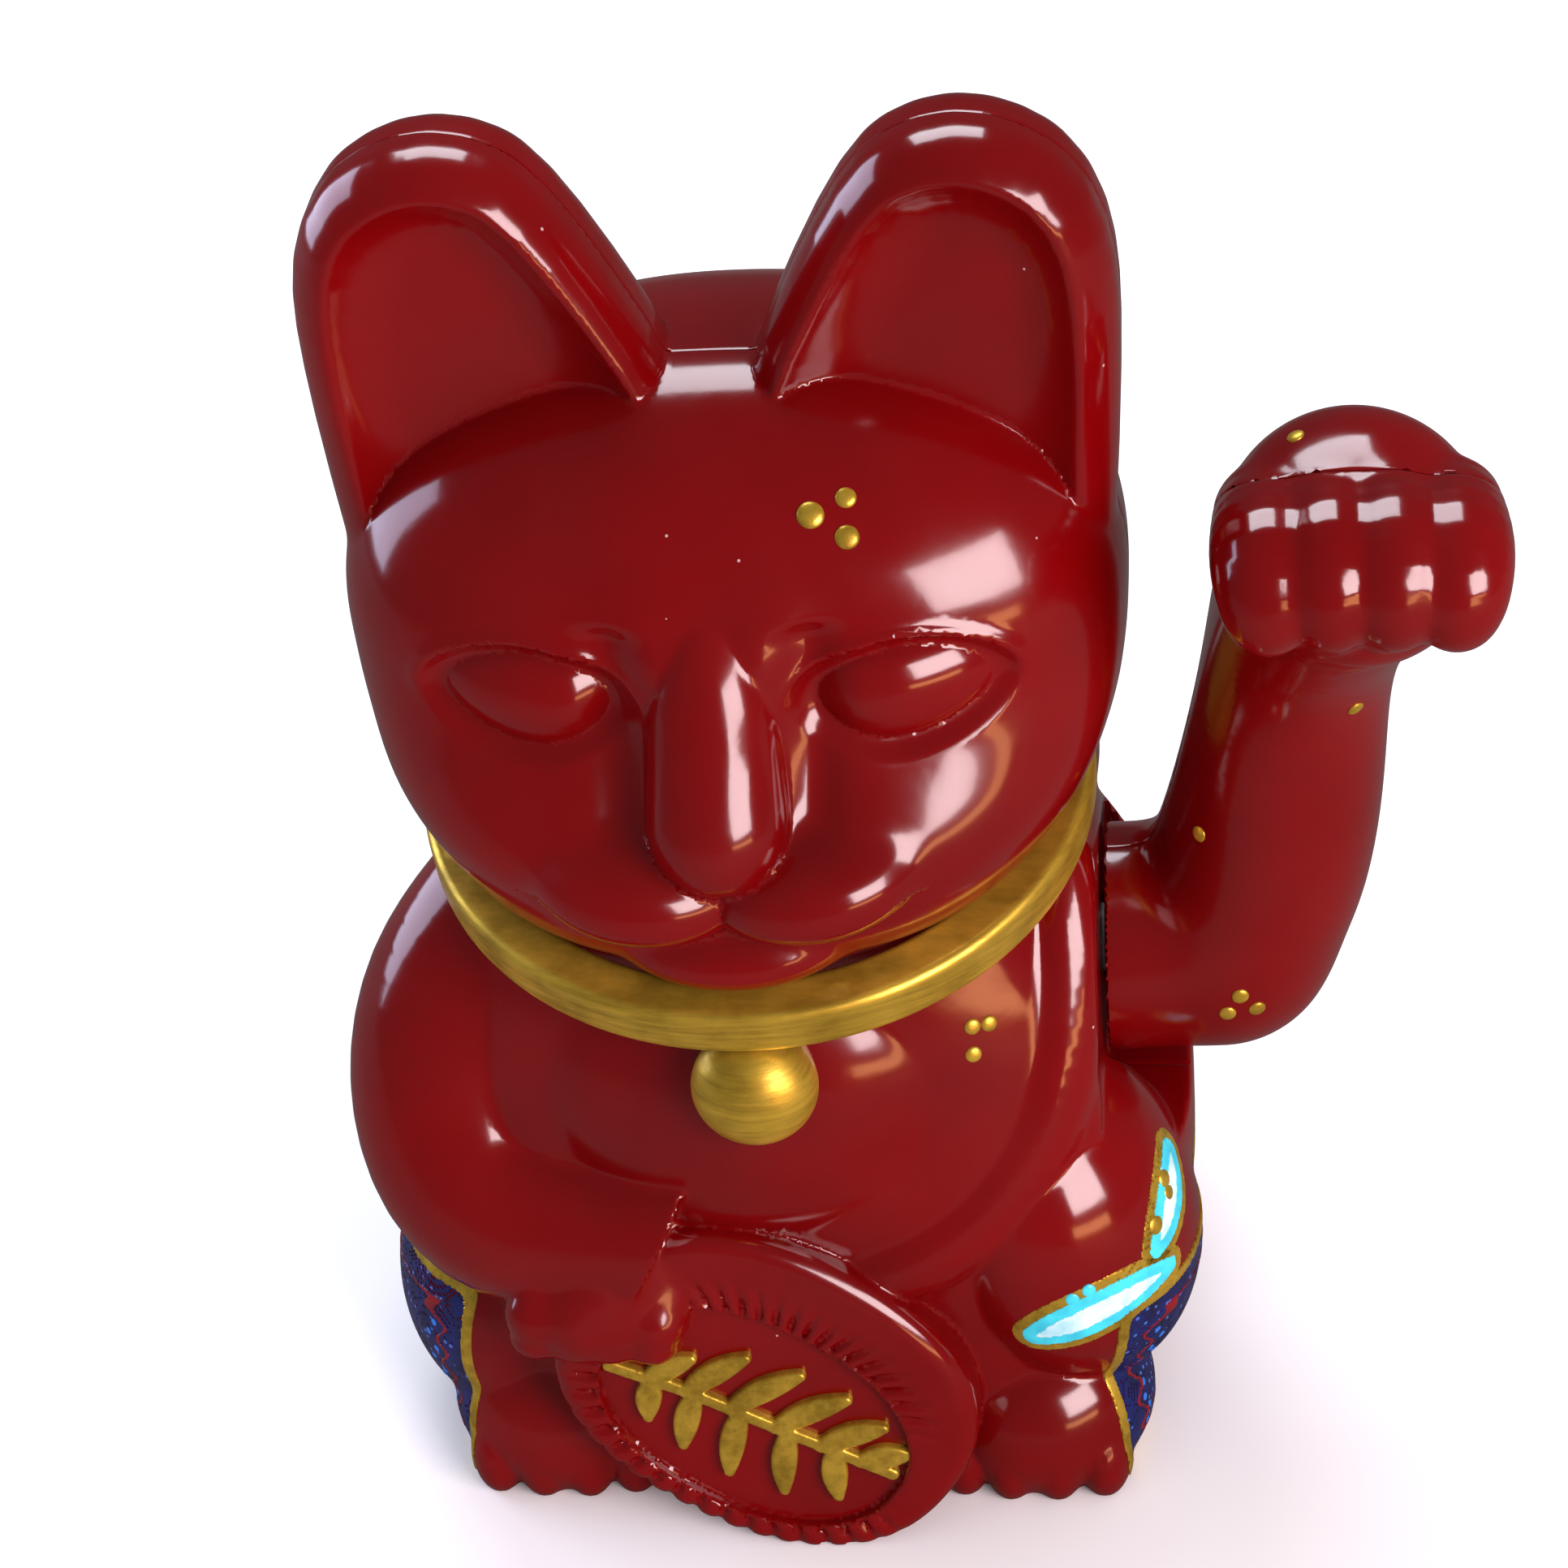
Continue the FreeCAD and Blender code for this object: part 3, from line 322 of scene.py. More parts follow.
@dataclass(frozen=True)
class Slab:
    """A rounded outline of (x, z) corners given thickness along Y, with rounded edges."""

    outline: tuple[tuple[float, float], ...]
    round_xz: float
    y_middle: float
    y_half: float
    round_y: float
    turn: Vec3 = (0.0, 0.0, 0.0)
    pivot: Vec3 = (0.0, 0.0, 0.0)

    def flat(self, x: Array, z: Array) -> Array:
        """Returns the distance to the outline in its own plane."""
        v = rounded(self.outline)
        best = np.full(x.shape, 1e9)
        inside = np.full(x.shape, False)
        for a, b in zip(v, np.roll(v, -1, axis=0)):
            ex, ez = b - a
            wx, wz = x - a[0], z - a[1]
            t = np.clip((wx * ex + wz * ez) / (ex * ex + ez * ez), 0, 1)
            best = np.minimum(best, (wx - ex * t) ** 2 + (wz - ez * t) ** 2)
            crosses = ((a[1] <= z) & (z < b[1])) | ((b[1] <= z) & (z < a[1]))
            span = b[1] - a[1] if b[1] != a[1] else 1e-9
            inside ^= crosses & (x < a[0] + (z - a[1]) * ex / span)
        d = np.sqrt(best)
        return np.where(inside, -d, d) - self.round_xz

    def distance(self, p: Array) -> Array:
        """Returns the distance to the rounded slab."""
        c = np.array(self.pivot)
        q = (p - c) @ turn_matrix(self.turn) + c
        d2 = self.flat(q[:, 0], q[:, 2]) + self.round_y
        w = np.abs(q[:, 1] - self.y_middle) - (self.y_half - self.round_y)
        outside = np.hypot(np.maximum(d2, 0), np.maximum(w, 0))
        return outside + np.minimum(np.maximum(d2, w), 0) - self.round_y


# ----------------------------------------------------------------------------- the cat's form


@dataclass(frozen=True)
class CoinPlace:
    """Where the oval coin stands and how it is turned."""

    centre: Vec3 = (-1.7, -38.4, 19.6)
    long: float = 22.9
    short: float = 18.0
    turn: float = 35.0
    lean: float = 9.0

    def axes(self) -> tuple[Array, Array, Array]:
        """Returns the unit vectors along the coin's length, across it, and out of its face."""
        lean, turn = math.radians(self.lean), math.radians(self.turn)
        up = np.array([0.0, math.sin(lean), math.cos(lean)])
        side = np.array([1.0, 0.0, 0.0])
        out = np.array([0.0, -math.cos(lean), math.sin(lean)])
        along_it = side * math.cos(turn) - up * math.sin(turn)
        across_it = side * math.sin(turn) + up * math.cos(turn)
        return along_it, across_it, out

    def local(self, p: Array) -> tuple[Array, Array, Array]:
        """Returns the coordinates along the coin's length, across it, and out of its face."""
        q = p - np.array(self.centre)
        return tuple(q @ axis for axis in self.axes())

    def field(self, u: Array, v: Array) -> Array:
        """Returns the distance to the sunk field's outline in the coin's plane."""
        return oval(u - 0.5, v + 3.0, 17.2, 11.8, 2.2)


@dataclass(frozen=True)
class Cat:
    """The outside of the moulded body, without its waving arm.

    Attributes:
        coin_place: Where the coin stands.
        pivot: (y, z) of the waving arm's axle.
        root_clear_r: Radius that the arm's root needs to turn in.
        notch_x: The flat side that the arm's root turns against.
        notch_back_y: Where the notch ends towards the back.
        ledge_z: The ledge under the arm's root.
        notch_top_z: The notch's top.
        bell_centre: Middle of the bell.
        bell_radii: Its half sizes.
    """

    coin_place: CoinPlace = CoinPlace()
    pivot: tuple[float, float] = (0.0, 50.0)
    root_clear_r: float = 13.4
    notch_x: float = 34.0
    notch_back_y: float = 18.0
    ledge_z: float = 35.4
    notch_top_z: float = 69.0
    bell_centre: Vec3 = (0.8, -34.4, 60.6)
    bell_radii: Vec3 = (6.3, 5.4, 6.3)

    TORSO = Stack((
        (0.0, 35.5, -33.0, 36.0), (5.0, 38.0, -33.6, 37.8), (11.0, 40.2, -33.6, 39.0),
        (20.0, 42.2, -33.2, 40.5), (29.0, 43.2, -32.8, 40.8), (38.0, 42.8, -32.4, 39.4),
        (48.0, 41.0, -31.6, 36.6), (56.0, 38.0, -30.4, 32.6), (62.0, 35.0, -29.0, 29.4),
        (68.0, 31.4, -27.6, 27.0), (74.0, 28.6, -26.6, 25.4), (80.0, 26.0, -24.0, 22.0)), (3.2, 2.2), -4.0)
    BELLY = Ellipsoid((-1.4, -14.0, 49.0), (28.6, 20.8, 24.0))
    BAND = Sweep((
        (29.6, -10.0, 69.0, 4.0), (30.2, -14.6, 63.0, 4.8), (29.6, -20.0, 54.0, 5.0),
        (26.0, -25.0, 43.5, 5.0), (18.0, -28.2, 34.6, 5.0), (8.0, -29.4, 29.6, 5.0)))
    HAUNCH = Ellipsoid((-31.0, -13.0, 17.0), (13.6, 18.4, 17.0))
    HUMP = Ellipsoid((26.4, 14.0, 65.0), (7.6, 10.0, 8.6))
    THIGH = Ellipsoid((28.6, -17.4, 27.6), (14.8, 16.6, 20.6), (0.0, -14.0, 0.0))
    NOSE = Sweep(((0.0, -32.2, 91.2, 6.7), (0.0, -28.9, 96.5, 6.4), (0.0, -26.7, 101.5, 6.0),
                  (0.0, -25.5, 105.0, 4.8), (0.0, -25.2, 107.4, 3.2)), 7, 0.3)
    LOBE = Ellipsoid((8.0, -29.8, 84.4), (11.0, 9.4, 5.8), (0.0, -8.0, 0.0))
    LOBE_CREASE_Z = 84.0
    LOWER_LIP = Ellipsoid((0.0, -28.2, 76.4), (12.0, 8.8, 4.6))
    UPPER_ARM = Sweep((
        (-25.0, -8.0, 63.0, 10.6), (-31.0, -12.6, 54.0, 11.9), (-33.0, -18.0, 44.0, 11.9),
        (-28.6, -24.0, 36.8, 11.2), (-18.0, -28.6, 36.4, 9.4), (-6.0, -33.0, 38.6, 7.4)), 5, 0.5)
    CUFF_PLACE, CUFF_FACING = (-10.6, -35.0, 40.0), (0.90, -0.10, -0.42)
    HAND = Sweep(((-14.0, -29.0, 37.0, 6.4), (-16.4, -32.6, 33.4, 6.4), (-19.6, -35.0, 30.0, 5.4)), 4, 0.5)
    FOOT = Ellipsoid((26.0, -23.4, 6.6), (12.4, 12.6, 11.2))
    TAIL = Limb(((-6.0, 36.0, 7.0, 3.6), (-13.0, 37.4, 11.0, 6.0), (-21.0, 35.4, 20.0, 6.2),
                 (-22.0, 33.0, 28.0, 3.6)), 3.0)
    HEAD = Stack((
        (66.0, 48.0, -56.0, 42.0), (70.0, 43.0, -51.5, 37.0), (73.0, 37.6, -44.4, 31.6),
        (76.0, 36.3, -41.0, 29.6), (80.0, 35.8, -37.6, 28.8), (85.0, 36.3, -35.1, 28.9),
        (90.0, 37.2, -33.3, 29.7), (95.0, 37.9, -31.8, 30.4), (100.0, 38.2, -30.4, 30.6),
        (105.0, 38.3, -29.4, 30.6), (110.0, 38.3, -28.0, 30.3), (115.0, 38.3, -26.5, 30.3),
        (119.0, 38.4, -24.8, 30.6), (122.0, 38.6, -23.4, 31.2), (127.0, 39.0, -21.4, 32.4)),
        (2.25, 2.25), -4.0, crown=(100.0, 126.0), chin=(92.0, 68.5))
    EAR_OUTLINE = ((9.2, 98.0), (9.6, 117.0), (20.4, 139.4), (24.4, 141.2), (28.8, 138.4), (29.6, 127.6),
                   (27.6, 98.0))
    EAR = Slab(EAR_OUTLINE, 9.0, -4.0, 8.8, 7.0)
    SCOOP = Slab(EAR_OUTLINE + ((8.0, 98.0),), 7.5, -20.4, 12.2, 8.6, (0.0, 0.0, -5.0), (20.0, -12.0, 120.0))
    EYE_CENTRE, EYE_HALF = (17.8, 101.8), (8.1, 4.5)

    def torso(self, p: Array) -> Array:
        """Returns the distance to the body below the head."""
        d = meet(self.TORSO.distance(p), self.BAND.distance(p), 1.6)
        d = meet(d, self.BELLY.distance(p), 0.7)
        return meet(meet(d, self.HAUNCH.distance(p), 2.0), self.HUMP.distance(p), 3.0)

    def ears(self, p: Array) -> Array:
        """Returns the distance to both ears with their scooped fronts."""
        q = mirrored(p)
        return carve(self.EAR.distance(q), self.SCOOP.distance(q), 1.3)

    def relief(self, p: Array) -> Array:
        """Returns how far the face stands out of the plain head at each point."""
        q, z = np.abs(p[:, 0]), p[:, 2]
        u, v = (q - self.EYE_CENTRE[0]) / self.EYE_HALF[0], (z - self.EYE_CENTRE[1]) / self.EYE_HALF[1]
        r = (np.abs(u) ** 1.8 + np.abs(v) ** 1.8) ** (1 / 1.8)
        dome = 2.1 * np.maximum(1 - r * r, 0.0) ** 0.9
        socket = -1.2 * ramp((1.22 - r) / 0.26)
        lid = 0.40 * bump((r - 1.38) / 0.13) * ramp((v + 0.1) / 0.7)
        orbit = -1.5 * bump(np.hypot((q - 16.0) / 12.0, (z - 99.6) / 7.8) ** 1.3)
        beside = -1.9 * bump((q - 9.0) / 3.0) * ramp((109.6 - z) / 1.6) * ramp((z - 88.0) / 6.0)
        brow = 0.9 * bump((q - 6.2) / 3.4) * bump((z - 108.4) / 4.4)
        cheek = 1.8 * bump(np.hypot((q - 20.0) / 13.0, (z - 86.4) / 7.4))
        return orbit + beside + brow + socket + lid + dome + cheek

    def face(self, p: Array, head: Array) -> Array:
        """Returns the head's distance with the eyes, nose, muzzle and lower lip on it."""
        d = head - self.relief(p) * ramp((-p[:, 1] - 14.0) / 6.0)
        q = mirrored(p)
        d = meet(d, self.LOWER_LIP.distance(p), 1.6)
        muzzle = self.LOBE.distance(q)
        d = np.where(p[:, 2] < self.LOBE_CREASE_Z, meet(d, muzzle, 0.5), meet(d, muzzle, 3.0))
        return meet(d, self.NOSE.distance(p), 0.8)

    def head(self, p: Array) -> Array:
        """Returns the distance to the head with its face and ears."""
        return meet(self.face(p, self.HEAD.distance(p)), self.ears(p), 0.7)

    def collar(self, p: Array) -> Array:
        """Returns the distance to the collar's band."""
        tilt = math.radians(12.0)
        y, z = p[:, 1] + 5.0, p[:, 2] - 77.0
        v, w = y * math.cos(tilt) + z * math.sin(tilt), z * math.cos(tilt) - y * math.sin(tilt)
        a, b = np.abs(oval(p[:, 0], v, 32.4, 31.6) + 0.8) - 1.6, np.abs(w + 0.5) - 1.7
        return np.hypot(np.maximum(a, 0), np.maximum(b, 0)) + np.minimum(np.maximum(a, b), 0) - 0.9

    def bell(self, p: Array) -> Array:
        """Returns the distance to the bell."""
        return Ellipsoid(self.bell_centre, self.bell_radii).distance(p)

    def resting_arm(self, p: Array) -> Array:
        """Returns the distance to the cat's right arm: the sleeve cut off at its cuff, and the hand."""
        cuff = (p - np.array(self.CUFF_PLACE)) @ np.array(self.CUFF_FACING)
        sleeve = keep(self.UPPER_ARM.distance(p), cuff, 1.0)
        hand = self.HAND.distance(p)
        for k in range(4):
            x, z = -25.0 + 4.1 * k, 28.2 - 0.3 * k
            walk = ((x + 2.0, -32.6, z + 6.4, 3.4), (x + 0.4, -36.2, z + 2.2, 3.3), (x, -36.6, z - 0.2, 2.8))
            hand = meet(hand, Limb(walk, 0.5).distance(p), 2.4)
        return meet(sleeve, hand, 1.0)

    def feet(self, p: Array) -> Array:
        """Returns the distance to both front feet with their toes."""
        q = mirrored(p)
        d = self.FOOT.distance(q)
        for k in range(4):
            centre = (18.0 + 5.0 * k, -31.4 + 0.3 * (k - 1.5) ** 2, 3.4)
            d = meet(d, Ellipsoid(centre, (3.0, 4.4, 5.0)).distance(q), 0.9)
        return d

    def coin(self, p: Array) -> Array:
        """Returns the distance to the coin with its ribbed rim and sunk field."""
        u, v, w = self.coin_place.local(p)
        c = self.coin_place
        radial = oval(u, v, c.long, c.short, 2.3)
        a, b = radial + 2.2, np.abs(w + 4.6) - 2.4
        d = np.hypot(np.maximum(a, 0), np.maximum(b, 0)) + np.minimum(np.maximum(a, b), 0) - 2.2
        field = c.field(u, v)
        d = carve(d, np.maximum(field, -1.3 - w), 0.9)
        around = np.arctan2(v / c.short, u / c.long)
        ribs = (0.5 + 0.5 * np.cos(around * 46)) ** 2
        band = ramp((field - 0.5) / 0.5) * np.clip(1.0 - field / 4.6, 0.0, 1.0)
        band = band * ramp((np.abs(v) / c.short - 0.35) / 0.2)
        return d + 0.9 * ribs * band * ramp((w + 3.0) / 1.0)

    def notch(self, p: Array) -> Array:
        """Returns the distance to the space that the waving arm's root turns in."""
        return block(p, (self.notch_x, -90.0, self.ledge_z), (90.0, self.notch_back_y, self.notch_top_z))

    def skin(self, p: Array) -> Array:
        """Returns the distance to the red outside, without the collar and the bell."""
        body = meet(self.torso(p), self.resting_arm(p), 1.4)
        body = meet(body, self.feet(p), 1.4)
        body = meet(body, self.TAIL.distance(p), 3.0)
        body = meet(body, self.coin(p), 0.8)
        body = carve(body, self.notch(p), 0.9)
        clear = rod(p, 0, self.pivot, self.root_clear_r, self.notch_x, 60.0)
        thigh = carve(self.THIGH.distance(p), clear, 0.5)
        return meet(meet(body, thigh, 1.0), self.head(p), 0.8)


@dataclass(frozen=True)
class WavingArm:
    """The outside of the waving arm."""

    face_x: float = 34.5

    ROOT = Limb(((33.0, 0.0, 50.0, 12.2), (46.0, 0.0, 50.6, 11.8)), 0.0)
    FORE = Sweep(((46.6, 0.0, 51.2, 11.4), (50.2, -0.2, 60.0, 11.2), (52.6, -0.6, 72.0, 10.4),
                  (54.0, -1.8, 84.0, 9.5), (55.4, -4.6, 94.0, 9.6), (57.4, -9.0, 103.0, 10.6)), 6, 0.5)
    PAW = Ellipsoid((59.2, -13.6, 109.6), (12.3, 13.2, 9.2), (24.0, 0.0, 0.0))

    def skin(self, p: Array) -> Array:
        """Returns the distance to the arm's outside."""
        root = np.maximum(self.ROOT.distance(p), self.face_x - p[:, 0])
        d = meet(root, self.FORE.distance(p), 4.0)
        d = meet(d, self.PAW.distance(p), 5.0)
        for k in range(4):
            x = 51.2 + 5.6 * k
            drop = 0.7 * abs(k - 1.6)
            walk = ((x, -13.0, 113.0 - drop, 4.8), (x, -20.6, 113.8 - drop, 5.2),
                    (x, -24.8 + drop * 0.5, 112.0 - drop, 4.7),
                    (x, -25.0 + drop * 0.5, 109.4 - drop * 0.6, 3.9))
            d = meet(d, Sweep(walk, 4, 0.3).distance(p), 1.6)
        return d


# ----------------------------------------------------------------------------- fields to meshes


THREADS = 4
SLICE = 60000


def measured(form: Form, points: Array) -> Array:
    """Returns a form's distances at many points, worked out in slices side by side."""
    slices = [points[i:i + SLICE] for i in range(0, len(points), SLICE)]
    with ThreadPoolExecutor(THREADS) as pool:
        return np.concatenate(list(pool.map(form, slices)))


def slope(form: Form, points: Array, step: float) -> Array:
    """Returns the form's gradient at points, by central differences."""
    sides = [(measured(form, points + d) - measured(form, points - d)) / (2 * step) for d in np.eye(3) * step]
    return np.stack(sides, 1)


def settled(form: Form, points: Array, steps: int, reach: float) -> Array:
    """Returns points moved onto a form's surface.

    Args:
        form: The form's distances.
        points: Points near its surface.
        steps: How many Newton steps each point takes.
        reach: The longest step.
    """
    for _ in range(steps):
        g = slope(form, points, reach * 0.3)
        move = g * (measured(form, points) / (np.sum(g * g, axis=1) + 1e-9))[:, None]
        length = np.linalg.norm(move, axis=1) + 1e-12
        points = points - move * np.minimum(1.0, reach / length)[:, None]
    return points


class Mesher:
    """Turns a distance field into a closed quad mesh, a point in each cell that the surface crosses."""

    BLOCK = 8
    FAR = 1e3

    def __init__(self, form: Form, low: Vec3, high: Vec3, cell: float) -> None:
        self.form = form
        self.cell = cell
        self.low = np.array(low, float)
        span = np.array(high, float) - self.low
        self.size = np.ceil(span / cell / self.BLOCK).astype(int) * self.BLOCK

    def samples(self) -> Array:
        """Returns the field on the grid, exact near the surface and only signed elsewhere."""
        n, b = self.size + 1, self.BLOCK
        step = b * self.cell
        blocks = self.size // b
        middles = [np.arange(k) + 0.5 for k in blocks]
        centres = np.stack(np.meshgrid(*middles, indexing="ij"), -1).reshape(-1, 3)
        rough = measured(self.form, self.low + centres * step)
        near = (np.abs(rough) < step * 1.3).reshape(blocks)
        grid = rough.reshape(blocks)
        for axis in range(3):
            grid = np.repeat(grid, b, axis)
        grid = np.pad(grid, ((0, 1), (0, 1), (0, 1)), mode="edge")
        mask = np.zeros(n, bool)
        for i, j, k in np.argwhere(near) * b:
            mask[i:i + b + 1, j:j + b + 1, k:k + b + 1] = True
        grid[mask] = measured(self.form, self.low + np.argwhere(mask) * self.cell)
        for axis in range(3):
            edge = np.moveaxis(grid, axis, 0)
            edge[0] = edge[-1] = self.FAR
        return grid

    def mesh(self, settle: int = 2) -> tuple[Array, Array]:
        """Returns the closed mesh's points, settled onto the surface, and its quads."""
        grid = self.samples()
        inside = grid < 0
        cells = tuple(self.size)
        corners = [(i, j, k) for i in (0, 1) for j in (0, 1) for k in (0, 1)]
        count = np.zeros(cells, np.int8)
        for i, j, k in corners:
            count += inside[i:i + cells[0], j:j + cells[1], k:k + cells[2]]
        active = (count > 0) & (count < 8)
        where = np.argwhere(active)
        index = np.full(cells, -1, np.int64)
        index[active] = np.arange(len(where))
        points = settled(self.form, self.low + self.crossings(grid, where, corners) * self.cell, settle,
                         0.5 * self.cell)
        return points, self.quads(inside, index)

    def crossings(self, grid: Array, where: Array, corners: list[tuple[int, int, int]]) -> Array:
        """Returns, for each cell, the middle of the points where the surface crosses its edges."""
        total, hits = np.zeros((len(where), 3)), np.zeros(len(where))
        for a in corners:
            for axis in range(3):
                if a[axis]:
                    continue
                b = np.array(a) + np.eye(3, dtype=int)[axis]
                va, vb = grid[tuple((where + a).T)], grid[tuple((where + b).T)]
                cross = (va < 0) != (vb < 0)
                t = np.where(cross, va / np.where(cross, va - vb, 1.0), 0.0)
                total += (np.array(a, float) + np.eye(3)[axis] * t[:, None]) * cross[:, None]
                hits += cross
        return where + total / hits[:, None]

    def quads(self, inside: Array, index: Array) -> Array:
        """Returns a quad for each grid edge that the surface crosses, facing outwards."""
        out = []
        unit = np.eye(3, dtype=int)
        for axis in range(3):
            u, v = (axis + 1) % 3, (axis + 2) % 3
            first = inside[tuple(slice(0, -1) if k == axis else slice(None) for k in range(3))]
            second = inside[tuple(slice(1, None) if k == axis else slice(None) for k in range(3))]
            for outwards, pick in ((True, first & ~second), (False, ~first & second)):
                at = np.argwhere(pick)
                at = at[(at[:, u] > 0) & (at[:, v] > 0)]
                ring = [at - unit[u] - unit[v], at - unit[v], at, at - unit[u]]
                quad = np.stack([index[tuple(r.T)] for r in ring], 1)
                out.append(quad if outwards else quad[:, ::-1])
        return np.concatenate(out)


# ----------------------------------------------------------------------------- meshes to pieces


def link(mesh: bpy.types.Mesh, name: str) -> bpy.types.Object:
    """Puts a mesh into the scene as an object at the origin."""
    mesh.name = name
    obj = bpy.data.objects.new(name, mesh)
    bpy.context.scene.collection.objects.link(obj)
    return obj


def plain_copy(obj: bpy.types.Object) -> bpy.types.Mesh:
    """Returns an object's mesh with its modifiers worked in."""
    graph = bpy.context.evaluated_depsgraph_get()
    return bpy.data.meshes.new_from_object(obj.evaluated_get(graph), depsgraph=graph)


def finish_piece(obj: bpy.types.Object, body: str, finish: "Finish", replaces: tuple[str, ...] = ()) -> None:
    """Gives a piece its material, its body and the CAD nodes that it stands for.

    Args:
        obj: The piece, in place.
        body: The CAD body it moves with.
        finish: Its surface finish.
        replaces: CAD nodes that it stands for.
    """
    if not obj.data.materials:
        obj.data.materials.append(finish.material())
    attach(obj, body)
    if replaces:
        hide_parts(*replaces)
    LOG.info("%s: %d faces on %s", obj.name, len(obj.data.polygons), body)


@dataclass(frozen=True)
class Casting:
    """A piece that is cast from a distance field.

    Attributes:
        name: The piece's name.
        form: Its distances, in millimetres.
        low: Low corner of the space it lies in.
        high: High corner.
        cell: Size of the grid's cells.
        hidden: Distances that are negative where its surface is never seen, or None.
        limit: The most triangles it may keep.
        edge: Two forms whose surfaces cross in a crisp edge of the piece, or None.
    """

    name: str
    form: Form
    low: Vec3
    high: Vec3
    cell: float
    hidden: Form | None = None
    limit: int = 190000
    edge: tuple[Form, Form] | None = None

    HIDDEN_SHARE = 0.06
    CREASE = math.cos(math.radians(40.0))

    def make(self) -> bpy.types.Object:
        """Returns the cast piece as an object, its shading taken from the field itself."""
        cell = self.cell * 1.0
        points, quads = Mesher(self.form, self.low, self.high, cell).mesh()
        if self.edge:
            self.sharpen(points, cell)
        mesh = bpy.data.meshes.new(self.name)
        mesh.vertices.add(len(points))
        mesh.vertices.foreach_set("co", (points * MM).astype(np.float32).ravel())
        mesh.loops.add(quads.size)
        mesh.loops.foreach_set("vertex_index", quads.astype(np.int32).ravel())
        mesh.polygons.add(len(quads))
        mesh.polygons.foreach_set("loop_start", np.arange(0, quads.size, 4, dtype=np.int32))
        mesh.update(calc_edges=True)
        obj = link(mesh, self.name)
        if self.hidden is not None:
            self.thin_hidden(obj, np.flatnonzero(measured(self.hidden, points) < 0))
        self.thin(obj, self.limit / max(1, self.triangles(obj)))
        self.shade(obj.data)
        return obj

    def sharpen(self, points: Array, cell: float) -> None:
        """Moves the points that lie by the crisp edge onto it."""
        first, second = self.edge
        by_second = np.flatnonzero(np.abs(measured(second, points)) < 0.55 * cell)
        chosen = by_second[np.abs(measured(first, points[by_second])) < 0.75 * cell]
        near = points[chosen]
        for _ in range(3):
            near = settled(first, near, 1, 0.5 * cell)
            near = settled(second, near, 1, 0.5 * cell)
        points[chosen] = near

    @staticmethod
    def triangles(obj: bpy.types.Object) -> int:
        """Returns how many triangles an object's mesh has."""
        return len(obj.data.loops) - 2 * len(obj.data.polygons)

    def thin_hidden(self, obj: bpy.types.Object, chosen: Array) -> None:
        """Thins the part of the mesh that is never seen."""
        share = len(chosen) / len(obj.data.vertices)
        group = obj.vertex_groups.new(name="hidden")
        group.add(chosen.tolist(), 1.0, "REPLACE")
        self.thin(obj, 1.0 - share * (1.0 - self.HIDDEN_SHARE), "hidden")
        obj.vertex_groups.clear()

    @staticmethod
    def thin(obj: bpy.types.Object, ratio: float, group: str = "") -> None:
        """Thins a mesh to a share of its faces, within a vertex group if one is named."""
        if ratio >= 1.0:
            return
        modifier = obj.modifiers.new("thin", "DECIMATE")
        modifier.ratio = ratio
        modifier.vertex_group = group
        mesh = plain_copy(obj)
        obj.modifiers.remove(modifier)
        old, name = obj.data, obj.data.name
        obj.data = mesh
        bpy.data.meshes.remove(old)
        mesh.name = name

    def shade(self, mesh: bpy.types.Mesh) -> None:
        """Sets smooth normals from the field, and flat ones where a face meets a crease."""
        mesh.polygons.foreach_set("use_smooth", np.ones(len(mesh.polygons), bool))
        points = np.empty(len(mesh.vertices) * 3, np.float32)
        mesh.vertices.foreach_get("co", points)
        g = slope(self.form, points.reshape(-1, 3).astype(float) / MM, 0.08)
        g /= np.linalg.norm(g, axis=1)[:, None] + 1e-9
        faces = np.empty(len(mesh.polygons) * 3, np.float32)
        mesh.polygons.foreach_get("normal", faces)
        sizes = np.empty(len(mesh.polygons), np.int32)
        mesh.polygons.foreach_get("loop_total", sizes)
        flat = np.repeat(faces.reshape(-1, 3), sizes, axis=0)
        index = np.empty(len(mesh.loops), np.int32)
        mesh.loops.foreach_get("vertex_index", index)
        smooth = g[index]
        agree = np.sum(smooth * flat, axis=1) > self.CREASE
        mesh.normals_split_custom_set(np.where(agree[:, None], smooth, flat).tolist())


# ----------------------------------------------------------------------------- finishes


